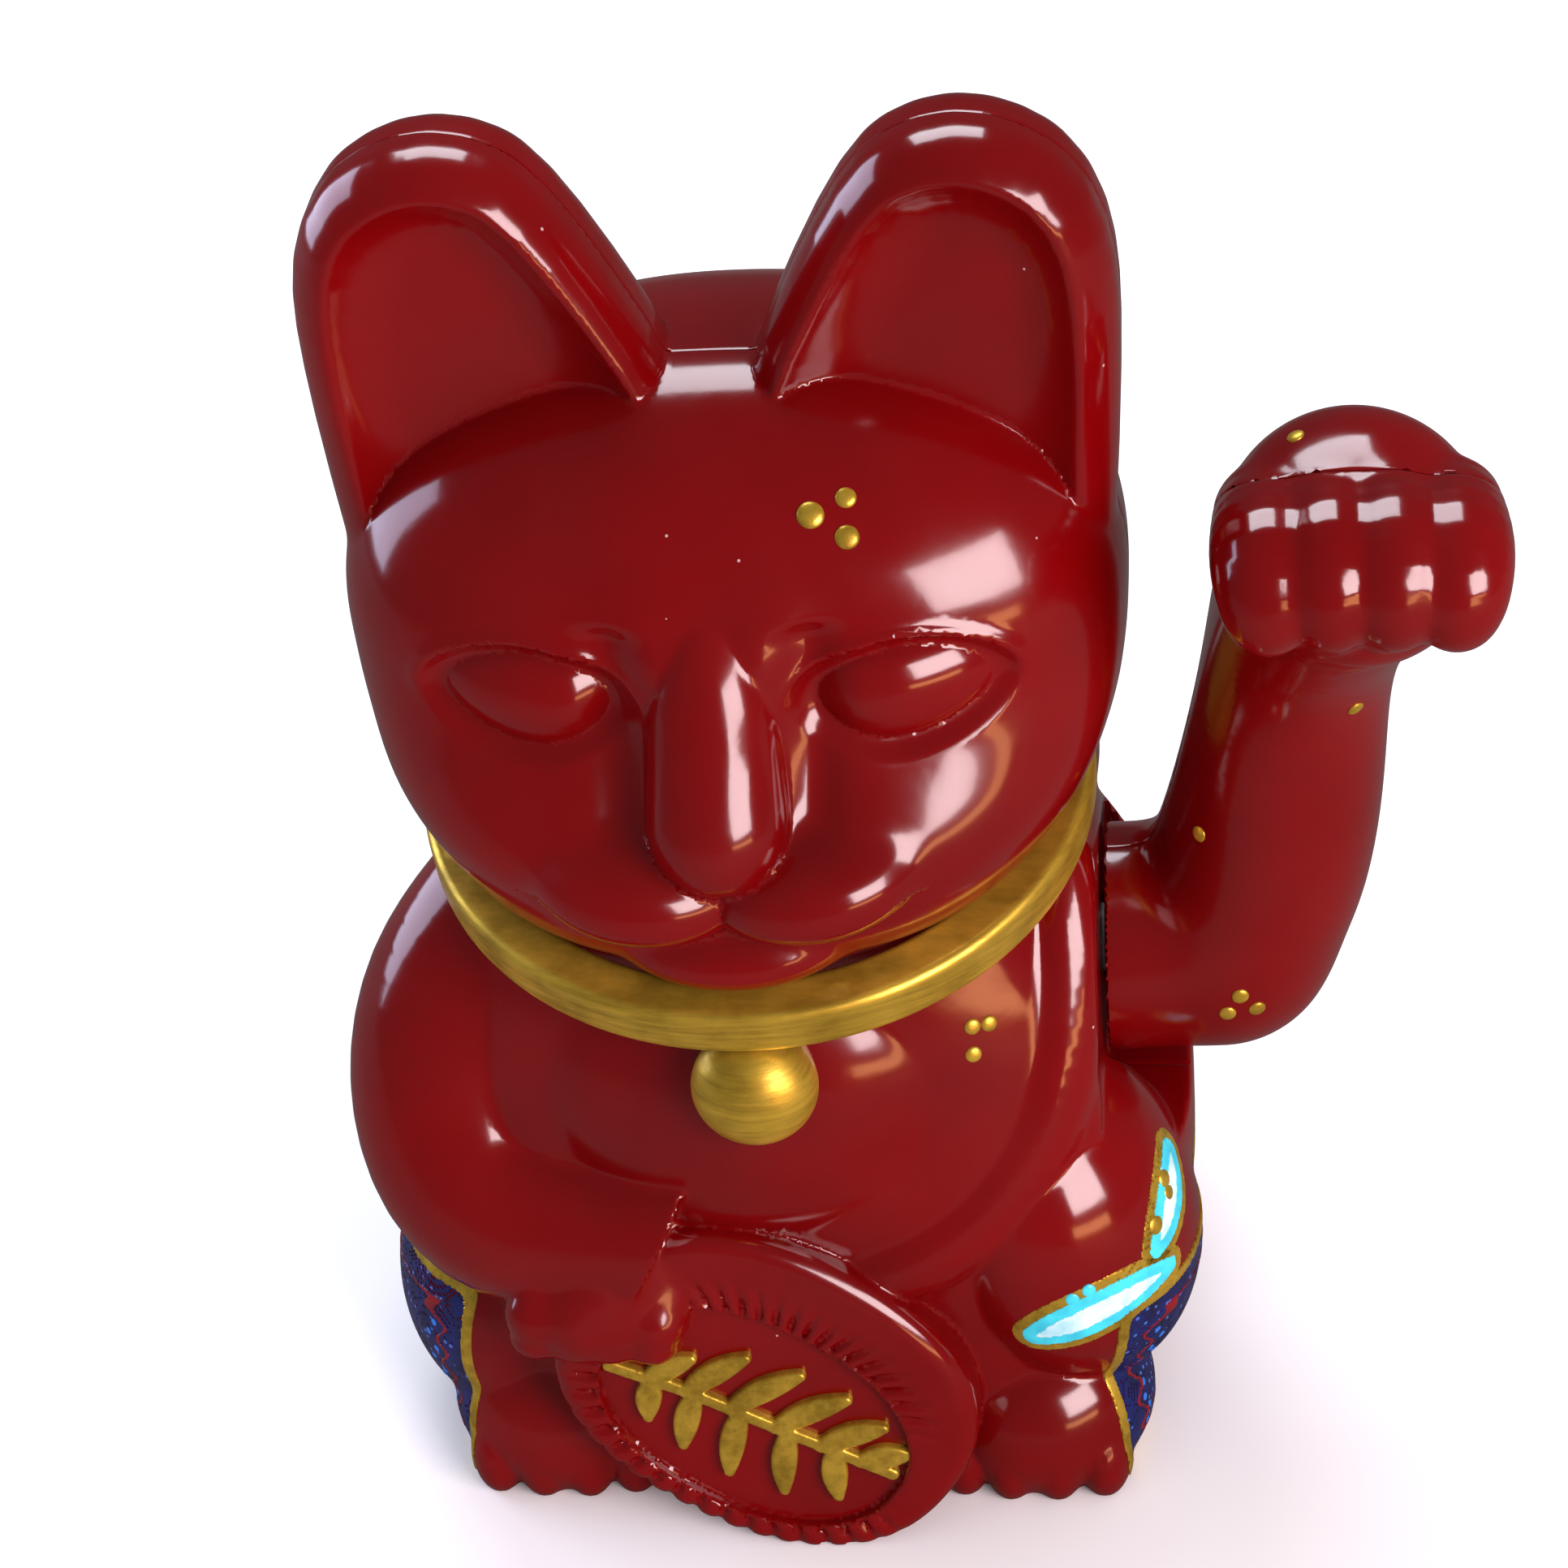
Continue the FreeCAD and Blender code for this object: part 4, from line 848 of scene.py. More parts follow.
class Graph:
    """A material's nodes, added one at a time."""

    def __init__(self, name: str) -> None:
        self.material = bpy.data.materials.new(name)
        self.material.use_nodes = True
        self.tree = self.material.node_tree
        self.tree.nodes.clear()
        self.place = self.add("ShaderNodeTexCoord").outputs["Object"]

    def add(self, kind: str, inputs: dict[Any, Any] | None = None, **settings: Any) -> bpy.types.Node:
        """Adds a node.

        Args:
            kind: The node's type.
            inputs: Values or sockets for its inputs, by name or number.
            **settings: The node's own properties.

        Returns:
            The new node.
        """
        node = self.tree.nodes.new(kind)
        for key, value in settings.items():
            setattr(node, key, value)
        for key, value in (inputs or {}).items():
            if isinstance(value, bpy.types.NodeSocket):
                self.tree.links.new(value, node.inputs[key])
            else:
                node.inputs[key].default_value = value
        return node

    def stretched(self, scale: Vec3, turn: Vec3 = (0.0, 0.0, 0.0), move: Vec3 = (0.0, 0.0, 0.0)) -> Any:
        """Returns the place on the object, scaled, turned in degrees and moved."""
        return self.add("ShaderNodeMapping", {
            "Vector": self.place, "Scale": scale, "Location": move,
            "Rotation": tuple(math.radians(t) for t in turn)}).outputs[0]

    def noise(self, scale: float, detail: float = 2.0, place: Any = None, rough: float = 0.5) -> Any:
        """Returns a noise's value; the scale is in waves per metre."""
        inputs = {"Vector": place or self.place, "Scale": scale, "Detail": detail, "Roughness": rough}
        return self.add("ShaderNodeTexNoise", inputs).outputs["Fac"]

    def between(self, value: Any, low: float, high: float, start: float, end: float) -> Any:
        """Returns a value moved from one range to another, held at its ends."""
        return self.add("ShaderNodeMapRange", {
            "Value": value, "From Min": low, "From Max": high, "To Min": start, "To Max": end}).outputs[0]

    def blend(self, share: Any, a: Any, b: Any) -> Any:
        """Returns colour a mixed towards colour b."""
        node = self.add("ShaderNodeMix", data_type="RGBA")
        for key, value in ((0, share), (6, a), (7, b)):
            if isinstance(value, bpy.types.NodeSocket):
                self.tree.links.new(value, node.inputs[key])
            else:
                node.inputs[key].default_value = (*value, 1.0) if isinstance(value, tuple) else value
        return node.outputs[2]

    def sum(self, *values: Any, operation: str = "ADD") -> Any:
        """Returns values combined by an operation."""
        total = values[0]
        for value in values[1:]:
            total = self.add("ShaderNodeMath", {0: total, 1: value}, operation=operation).outputs[0]
        return total

    def specks(self, per_metre: float, size: float, share: float) -> Any:
        """Returns 1 inside scattered specks and 0 elsewhere.

        Args:
            per_metre: How many cells a metre holds.
            size: A speck's radius in cells.
            share: The share of cells that have one.
        """
        cell = self.add("ShaderNodeTexVoronoi", {"Vector": self.place, "Scale": per_metre})
        inside = self.sum(cell.outputs["Distance"], size, operation="LESS_THAN")
        red = self.add("ShaderNodeSeparateColor", {0: cell.outputs["Color"]}).outputs[0]
        return self.sum(inside, self.sum(red, share, operation="LESS_THAN"), operation="MULTIPLY")

    def raised(self, height: Any, distance: float, strength: float = 1.0, normal: Any = None) -> Any:
        """Returns a normal bent by a height; the distance is in metres."""
        inputs = {"Height": height, "Distance": distance, "Strength": strength}
        if normal is not None:
            inputs["Normal"] = normal
        return self.add("ShaderNodeBump", inputs).outputs[0]

    def close(self, **inputs: Any) -> bpy.types.Material:
        """Ends the graph in a surface shader and returns the material.

        Args:
            **inputs: The shader's inputs, with _ for a space in a name.
        """
        ready = {}
        for key, value in inputs.items():
            ready[key.replace("_", " ")] = (*value, 1.0) if isinstance(value, tuple) else value
        shader = self.add("ShaderNodeBsdfPrincipled", ready)
        self.add("ShaderNodeOutputMaterial", {"Surface": shader.outputs[0]})
        return self.material


@dataclass(frozen=True)
class Finish:
    """A surface finish: its material's name and the record's slot that it stands for."""

    name: str
    slot: str

    def material(self) -> bpy.types.Material:
        """Returns the finish's material, built the first time it is asked for."""
        return bpy.data.materials.get(self.name) or self.build()

    def build(self) -> bpy.types.Material:
        """Builds the material."""
        raise NotImplementedError


@dataclass(frozen=True)
class GlossMoulding(Finish):
    """Glossy moulded plastic with a faint ripple, a slight drift in colour and a little dust."""

    colour: Colour = (0.165, 0.0004, 0.0012)
    deep: Colour = (0.115, 0.0003, 0.0008)
    roughness: float = 0.13
    ripple: float = 0.000012
    dust: float = 0.05

    def build(self) -> bpy.types.Material:
        """Builds the material."""
        g = Graph(self.name)
        drift = g.between(g.noise(38.0, 3.0), 0.3, 0.7, 0.0, 1.0)
        dusty = g.specks(300.0, 0.05, self.dust)
        colour = g.blend(g.sum(dusty, 0.55, operation="MULTIPLY"), g.blend(drift, self.colour, self.deep),
                         (0.62, 0.5, 0.48))
        smear = g.between(g.noise(90.0, 4.0), 0.35, 0.75, self.roughness, self.roughness + 0.07)
        rough = g.sum(smear, g.sum(dusty, 0.4, operation="MULTIPLY"))
        swell = g.raised(g.noise(260.0, 1.0), self.ripple * 4, 0.5)
        peel = g.raised(g.noise(900.0, 2.0), self.ripple, 0.6, swell)
        return g.close(Base_Color=colour, Roughness=rough, IOR=1.5, Specular_IOR_Level=0.5, Coat_Weight=0.35,
                       Coat_Roughness=0.08, Normal=peel)


@dataclass(frozen=True)
class GrainedMoulding(Finish):
    """Moulded plastic with a fine spark-eroded grain."""

    colour: Colour = (0.5, 0.5, 0.5)
    roughness: float = 0.45
    grain: float = 2200.0
    depth: float = 0.00003

    def build(self) -> bpy.types.Material:
        """Builds the material."""
        g = Graph(self.name)
        worn = tuple(min(1.0, c * 1.25 + 0.01) for c in self.colour)
        colour = g.blend(g.between(g.noise(120.0, 5.0), 0.45, 0.75, 0.0, 0.6), self.colour, worn)
        rough = g.between(g.noise(300.0, 3.0), 0.3, 0.7, self.roughness - 0.06, self.roughness + 0.08)
        grain = g.raised(g.noise(self.grain, 3.0, rough=0.6), self.depth, 0.8)
        return g.close(Base_Color=colour, Roughness=rough, IOR=1.49, Normal=grain)


@dataclass(frozen=True)
class GoldPaint(Finish):
    """Brushed-on gold paint: streaked flakes that thin out to a duller shade."""

    bright: Colour = (0.80, 0.55, 0.06)
    dull: Colour = (0.40, 0.26, 0.02)
    streak: Vec3 = (130.0, 130.0, 1300.0)
    roughness: float = 0.34

    def build(self) -> bpy.types.Material:
        """Builds the material."""
        g = Graph(self.name)
        streaks = g.noise(1.0, 5.0, g.stretched(self.streak), 0.65)
        patches = g.noise(170.0, 3.0)
        share = g.between(g.sum(streaks, g.sum(patches, 0.7, operation="MULTIPLY")), 0.62, 1.05, 0.0, 1.0)
        colour = g.blend(share, self.bright, self.dull)
        rough = g.between(streaks, 0.3, 0.7, self.roughness - 0.05, self.roughness + 0.16)
        flakes = g.raised(g.noise(5200.0, 2.0), 0.00001, 0.6)
        brushed = g.raised(streaks, 0.00010, 0.5, flakes)
        return g.close(Base_Color=colour, Metallic=0.72, Roughness=rough, Coat_Weight=0.15,
                       Coat_Roughness=0.2, Normal=brushed)


@dataclass(frozen=True)
class Enamel(Finish):
    """Hand-laid enamel colour with thin and thick places and an optional sprinkle of specks."""

    colour: Colour = (0.02, 0.45, 0.5)
    thin: Colour = (0.01, 0.3, 0.38)
    speck: Colour = (1.0, 1.0, 1.0)
    specks: float = 0.0
    roughness: float = 0.25

    def build(self) -> bpy.types.Material:
        """Builds the material."""
        g = Graph(self.name)
        laid = g.between(g.noise(420.0, 4.0), 0.4, 0.7, 0.0, 1.0)
        colour = g.blend(laid, self.colour, self.thin)
        if self.specks:
            colour = g.blend(g.specks(900.0, 0.22, self.specks), colour, self.speck)
        rough = g.between(laid, 0.0, 1.0, self.roughness, self.roughness + 0.15)
        ridges = g.raised(g.noise(800.0, 3.0), 0.00004, 0.5)
        return g.close(Base_Color=colour, Roughness=rough, IOR=1.5, Coat_Weight=0.2, Normal=ridges)


@dataclass(frozen=True)
class PlatedMetal(Finish):
    """Metal with fine turned or brushed lines and handling marks."""

    colour: Colour = (0.56, 0.56, 0.57)
    stain: Colour = (0.38, 0.37, 0.36)
    roughness: float = 0.28
    lines: Vec3 = (300.0, 300.0, 4000.0)

    def build(self) -> bpy.types.Material:
        """Builds the material."""
        g = Graph(self.name)
        lines = g.noise(1.0, 3.0, g.stretched(self.lines))
        stain = g.between(g.noise(240.0, 4.0), 0.5, 0.8, 0.0, 0.7)
        colour = g.blend(stain, self.colour, self.stain)
        rough = g.sum(g.between(lines, 0.3, 0.7, self.roughness - 0.08, self.roughness + 0.08),
                      g.sum(stain, 0.12, operation="MULTIPLY"))
        return g.close(Base_Color=colour, Metallic=1.0, Roughness=rough, Normal=g.raised(lines, 0.00002, 0.6))


@dataclass(frozen=True)
class CellJacket(Finish):
    """The dry cell's printed sleeve: a dark body and a bright band by its cap."""

    body: Colour = (0.012, 0.012, 0.014)
    band: Colour = (0.62, 0.40, 0.10)
    band_y: float = -0.0155
    cap_y: float = -0.0262

    def build(self) -> bpy.types.Material:
        """Builds the material."""
        g = Graph(self.name)
        y = g.add("ShaderNodeSeparateXYZ", {0: g.place}).outputs[1]
        banded = g.sum(y, self.band_y, operation="LESS_THAN")
        bare = g.sum(y, self.cap_y, operation="LESS_THAN")
        colour = g.blend(bare, g.blend(banded, self.body, self.band), (0.6, 0.6, 0.6))
        scuffs = g.between(g.noise(1.0, 4.0, g.stretched((900.0, 120.0, 900.0))), 0.55, 0.8, 0.0, 0.35)
        colour = g.blend(scuffs, colour, (0.35, 0.34, 0.33))
        rough = g.between(g.noise(500.0, 3.0), 0.3, 0.7, 0.2, 0.34)
        metal = g.sum(banded, 0.85, operation="MULTIPLY")
        return g.close(Base_Color=colour, Metallic=metal, Roughness=rough,
                       Normal=g.raised(scuffs, 0.00002, 0.5))


@dataclass(frozen=True)
class BoardMask(Finish):
    """Green solder mask over copper tracks."""

    mask: Colour = (0.01, 0.14, 0.05)
    track: Colour = (0.03, 0.28, 0.10)

    def build(self) -> bpy.types.Material:
        """Builds the material."""
        g = Graph(self.name)
        tracks = g.add("ShaderNodeTexVoronoi", {"Vector": g.place, "Scale": 420.0, "Randomness": 0.7},
                       distance="CHEBYCHEV")
        line = g.between(tracks.outputs["Distance"], 0.36, 0.44, 0.0, 1.0)
        colour = g.blend(line, self.mask, self.track)
        rough = g.between(g.noise(900.0, 2.0), 0.3, 0.7, 0.25, 0.4)
        return g.close(Base_Color=colour, Roughness=rough, Normal=g.raised(line, 0.00003, 0.7))


@dataclass(frozen=True)
class LacqueredWire(Finish):
    """Enamelled copper wire laid side by side, with painted shade in the grooves between its turns."""

    colour: Colour = (0.62, 0.20, 0.06)
    # Colour of the painted shade in the grooves between the turns.
    dark: Colour = (0.30, 0.07, 0.02)

    def build(self) -> bpy.types.Material:
        """Builds the material."""
        g = Graph(self.name)
        inputs = {"Vector": g.place, "Scale": 1700.0, "Distortion": 0.6, "Detail": 1.0}
        turns = g.add("ShaderNodeTexWave", inputs, bands_direction="Z").outputs["Fac"]
        # The troughs of the wave bands blend towards the dark colour: painted shade in the grooves between
        # the turns.
        colour = g.blend(g.between(turns, 0.0, 0.5, 1.0, 0.0), self.colour, self.dark)
        rough = g.between(g.noise(700.0, 2.0), 0.3, 0.7, 0.22, 0.36)
        return g.close(Base_Color=colour, Metallic=0.9, Roughness=rough, Normal=g.raised(turns, 0.00005, 0.8))


@dataclass(frozen=True)
class LeadSleeve(Finish):
    """Soft insulation on a lead."""

    colour: Colour = (0.5, 0.01, 0.01)

    def build(self) -> bpy.types.Material:
        """Builds the material."""
        g = Graph(self.name)
        grime = g.between(g.noise(600.0, 3.0), 0.45, 0.8, 0.0, 0.5)
        colour = g.blend(grime, self.colour, tuple(c * 0.6 + 0.01 for c in self.colour))
        rough = g.between(g.noise(1500.0, 2.0), 0.3, 0.7, 0.36, 0.52)
        return g.close(Base_Color=colour, Roughness=rough, Normal=g.raised(g.noise(3000.0), 0.00001, 0.6))


BODY_RED = GlossMoulding("gloss_red_moulding", "body_red")
GOLD_BRUSHED = GoldPaint("brushed_gold_paint", "body_red")
GOLD_DABBED = GoldPaint("dabbed_gold_paint", "body_red", streak=(700.0, 700.0, 700.0), roughness=0.3)
TURQUOISE = Enamel("turquoise_enamel", "body_red", (0.045, 0.60, 0.72), (0.02, 0.44, 0.58))
SKY_BLUE = Enamel("sky_blue_enamel", "body_red", (0.02, 0.16, 0.62), (0.01, 0.10, 0.45))
DEEP_RED = Enamel("deep_red_enamel", "body_red", (0.20, 0.003, 0.008), (0.13, 0.002, 0.004))
# Pale colour for each petal's middle: a painted highlight standing in for the white sheen on the glaze.
PAINTED_PETAL_HIGHLIGHT = Enamel("painted_highlight_glaze", "body_red", (0.62, 0.80, 0.84), (0.30, 0.62, 0.70))
NAVY = Enamel("navy_enamel", "body_red", (0.006, 0.012, 0.09), (0.004, 0.006, 0.04),
              (0.05, 0.12, 0.42), 0.5)

NODE_FINISHES: tuple[Finish, ...] = (
    BODY_RED,
    GrainedMoulding("grained_red_plastic", "floor_red", (0.22, 0.004, 0.005), 0.42),
    GrainedMoulding("black_plastic", "black_plastic", (0.012, 0.012, 0.013), 0.4),
    GrainedMoulding("natural_white_plastic", "white_plastic", (0.72, 0.70, 0.64), 0.38),
    PlatedMetal("zinc_plated_steel", "steel", (0.60, 0.61, 0.63)),
    PlatedMetal("nickel_contact", "plated_contact", (0.66, 0.62, 0.55), (0.45, 0.40, 0.33), 0.2,
                (2500.0, 300.0, 300.0)),
    PlatedMetal("magnet_nickel", "magnet_plating", (0.58, 0.57, 0.56), (0.40, 0.39, 0.38), 0.16),
    CellJacket("cell_sleeve", "cell_jacket"),
    BoardMask("board_mask", "board_green"),
    LacqueredWire("lacquered_wire", "copper_wire"),
    LeadSleeve("red_sleeve", "lead_red", (0.45, 0.008, 0.010)),
    LeadSleeve("black_sleeve", "lead_black", (0.012, 0.012, 0.012)),
)


# ----------------------------------------------------------------------------- the figurine's pieces


CAT_LOW, CAT_HIGH = (-49.0, -46.0, -1.5), (49.0, 46.0, 152.0)
ARM_LOW, ARM_HIGH = (33.0, -36.0, 35.0), (75.0, 15.0, 123.0)


@dataclass(frozen=True)
class BodyShells:
    """The front and rear mouldings of the body, which part at a plane over the ears.

    Attributes:
        cat: The outside form.
        wall: Thickness of the moulded wall.
        face_wall: How much thicker it is behind the face.
        part_y: Where the two mouldings meet.
        gap: Half the fine gap at the seam.
        groove: How deep the seam's edges are drawn in.
        rim_z: Height below which the hollow follows the plain torso.
        rim_fade: Height over which it then widens to the whole form.
        pivot: (y, z) of the axle that passes through the side.
        axle_r: Radius of the hole for it.
        bosses: (x, y) of the screw bosses that stand on the base.
        boss_r: Their radius.
        boss_z: Their bottom and top.
        pilot_r: Radius of their screw holes.
        web_half: Half thickness of the web that ties each to the wall.
        web_length: How far that web runs outwards.
    """

    cat: Cat = Cat()
    wall: float = 2.0
    face_wall: float = 1.8
    part_y: float = -4.0
    gap: float = 0.05
    groove: float = 0.12
    rim_z: float = 4.0
    rim_fade: float = 4.0
    pivot: tuple[float, float] = (0.0, 50.0)
    axle_r: float = 4.2
    bosses: tuple[tuple[float, float], ...] = ((-28.0, -14.0), (27.6, -20.6), (-28.0, 14.0), (26.5, 22.0))
    boss_r: float = 3.0
    boss_z: tuple[float, float] = (2.1, 13.0)
    pilot_r: float = 1.5
    web_half: float = 0.8
    web_length: float = 9.0

    def cavity(self, p: Array, skin: Array) -> Array:
        """Returns the distance to the hollow inside: narrow at the base's rim, then full."""
        rim = self.cat.TORSO.distance(p) - 20.0 * np.clip((p[:, 2] - self.rim_z) / self.rim_fade, 0.0, 1.0)
        face = self.cat.HEAD.distance(p) + self.face_wall - 20.0 * ramp((p[:, 1] + 14.0) / 4.0)
        face = np.where(np.abs(p[:, 2] - 92.0) < 24.0, face, -20.0)
        return np.maximum(np.maximum(skin, rim), np.maximum(face, -self.cat.coin(p))) + self.wall

    def hollow(self, p: Array) -> Array:
        """Returns the distance to the whole body's wall with its bosses."""
        skin = self.cat.skin(p)
        d = np.maximum(keep(skin, -self.cavity(p, skin), 0.0), -p[:, 2])
        d = carve(d, rod(p, 0, self.pivot, self.axle_r, 25.0, 40.0), 0.3)
        for x, y in self.bosses:
            boss = rod(p, 2, (x, y), self.boss_r, *self.boss_z)
            far = x + math.copysign(self.web_length, x)
            web = block(p, (min(x, far), y - self.web_half, self.boss_z[0]),
                        (max(x, far), y + self.web_half, self.boss_z[1]))
            post = np.maximum(np.minimum(boss, web), skin + 0.5)
            d = carve(np.minimum(d, post), rod(p, 2, (x, y), self.pilot_r, 0.0, 11.0), 0.0)
        return d

    def before(self, p: Array) -> Array:
        """Returns the distance in front of (negative) or behind the front moulding's edge."""
        return p[:, 1] - self.part_y + self.gap

    def behind(self, p: Array) -> Array:
        """Returns the distance behind (negative) or in front of the rear moulding's edge."""
        return self.part_y + self.gap - p[:, 1]

    def front(self, p: Array) -> Array:
        """Returns the distance to the front moulding."""
        return keep(self.hollow(p), self.before(p), 0.0)

    def rear(self, p: Array) -> Array:
        """Returns the distance to the rear moulding."""
        return keep(self.hollow(p), self.behind(p), 0.0)

    def edge(self, p: Array) -> Array:
        """Returns the distance to the skin that the seam's edges are drawn in to."""
        return self.cat.skin(p) + self.groove

    def inner(self, p: Array) -> Array:
        """Returns a distance that is negative well inside the outer skin."""
        return self.cat.skin(p) + 0.9

    def build(self) -> None:
        """Casts both mouldings."""
        part = self.part_y
        for name, form, low, high, cell, node, cut in (
                ("cat_front_moulding", self.front, CAT_LOW, (CAT_HIGH[0], part + 1.5, CAT_HIGH[2]), 0.56,
                 "front_shell", self.before),
                ("cat_rear_moulding", self.rear, (CAT_LOW[0], part - 1.5, CAT_LOW[2]), CAT_HIGH, 0.8,
                 "rear_shell", self.behind)):
            obj = Casting(name, form, low, high, cell, self.inner, edge=(self.edge, cut)).make()
            finish_piece(obj, "cat", BODY_RED, (node,))


@dataclass(frozen=True)
class ArmShells:
    """The front and rear mouldings of the waving arm.

    Attributes:
        arm: The outside form.
        wall: Thickness of the moulded wall.
        seam: (z, y) points of the line where the two mouldings meet.
        gap: Half the fine gap at the seam.
        groove: How deep the seam's edges are drawn in.
        pivot: (y, z) of the arm's axle.
        socket_r: Outer radius of the socket for the lever's stub.
        bore_r: Its bore.
        socket_end: Where it ends inside the arm.
        cell: Size of the grid's cells.
    """

    arm: WavingArm = WavingArm()
    wall: float = 1.3
    seam: tuple[tuple[float, float], ...] = (
        (30.0, 0.0), (60.0, 0.0), (84.0, -1.2), (94.0, -3.4), (124.0, -19.0))
    gap: float = 0.05
    groove: float = 0.12
    pivot: tuple[float, float] = (0.0, 50.0)
    socket_r: float = 5.4
    bore_r: float = 4.0
    socket_end: float = 45.0
    cell: float = 0.5

    def hollow(self, p: Array) -> Array:
        """Returns the distance to the arm's wall with the socket for the lever's stub."""
        skin = self.arm.skin(p)
        d = keep(skin, -(skin + self.wall), 0.0)
        socket = np.maximum(rod(p, 0, self.pivot, self.socket_r, 34.0, self.socket_end), skin + 0.3)
        bore = rod(p, 0, self.pivot, self.bore_r, 30.0, self.socket_end + 1.0)
        return carve(np.minimum(d, socket), bore, 0.0)

    def beside(self, p: Array) -> Array:
        """Returns the distance in front of (negative) or behind the seam."""
        z, y = np.array(self.seam).T
        lean = np.interp(p[:, 2], (84.0, 100.0), (1.0, 0.888))
        return (p[:, 1] - np.interp(p[:, 2], z, y)) * lean

    def before(self, p: Array) -> Array:
        """Returns the distance in front of (negative) or behind the front moulding's edge."""
        return self.beside(p) + self.gap

    def behind(self, p: Array) -> Array:
        """Returns the distance behind (negative) or in front of the rear moulding's edge."""
        return self.gap - self.beside(p)

    def front(self, p: Array) -> Array:
        """Returns the distance to the front moulding."""
        return keep(self.hollow(p), self.before(p), 0.0)

    def rear(self, p: Array) -> Array:
        """Returns the distance to the rear moulding."""
        return keep(self.hollow(p), self.behind(p), 0.0)

    def edge(self, p: Array) -> Array:
        """Returns the distance to the skin that the seam's edges are drawn in to."""
        return self.arm.skin(p) + self.groove

    def inner(self, p: Array) -> Array:
        """Returns a distance that is negative well inside the outer skin."""
        return self.arm.skin(p) + 0.6

    def build(self) -> None:
        """Casts both mouldings."""
        for name, form, node, cut in (("arm_front_moulding", self.front, "arm_front_shell", self.before),
                                      ("arm_rear_moulding", self.rear, "arm_rear_shell", self.behind)):
            obj = Casting(name, form, ARM_LOW, ARM_HIGH, self.cell, self.inner, edge=(self.edge, cut)).make()
            finish_piece(obj, "arm", BODY_RED, (node,))


@dataclass(frozen=True)
class GoldTrim:
    """The collar and the bell, raised from the skin and painted gold.

    Attributes:
        cat: The form they sit on.
        bite: How deep they reach into the skin.
        spread: How far the collar's paint runs past its band.
        part_y: Where the collar's halves meet.
        gap: Half the fine gap between them.
    """

    cat: Cat = Cat()
    bite: float = 0.7
    spread: float = 0.15
    part_y: float = -4.0
    gap: float = 0.03

    def band(self, p: Array) -> Array:
        """Returns the distance to the whole collar."""
        return keep(self.cat.collar(p) - self.spread, -(self.cat.skin(p) + self.bite), 0.1)

    def collar_front(self, p: Array) -> Array:
        """Returns the distance to the collar's front."""
        return keep(self.band(p), p[:, 1] - self.part_y + self.gap, 0.3)

    def collar_rear(self, p: Array) -> Array:
        """Returns the distance to the collar's back."""
        return keep(self.band(p), self.part_y + self.gap - p[:, 1], 0.3)

    def bell(self, p: Array) -> Array:
        """Returns the distance to the bell."""
        return keep(self.cat.bell(p), -(self.cat.skin(p) + self.bite), 0.1)

    def build(self) -> None:
        """Casts the collar's two halves and the bell."""
        c, r = self.cat.bell_centre, self.cat.bell_radii
        low, high = tuple(a - b - 2 for a, b in zip(c, r)), tuple(a + b + 2 for a, b in zip(c, r))
        for name, form, space, cell in (
                ("gold_collar_front", self.collar_front, ((-38.0, -42.0, 66.0), (38.0, -2.0, 84.0)), 0.45),
                ("gold_collar_rear", self.collar_rear, ((-38.0, -6.0, 66.0), (38.0, 30.0, 84.0)), 0.6),
                ("gold_bell", self.bell, (low, high), 0.3)):
            finish_piece(Casting(name, form, *space, cell).make(), "cat", GOLD_BRUSHED)


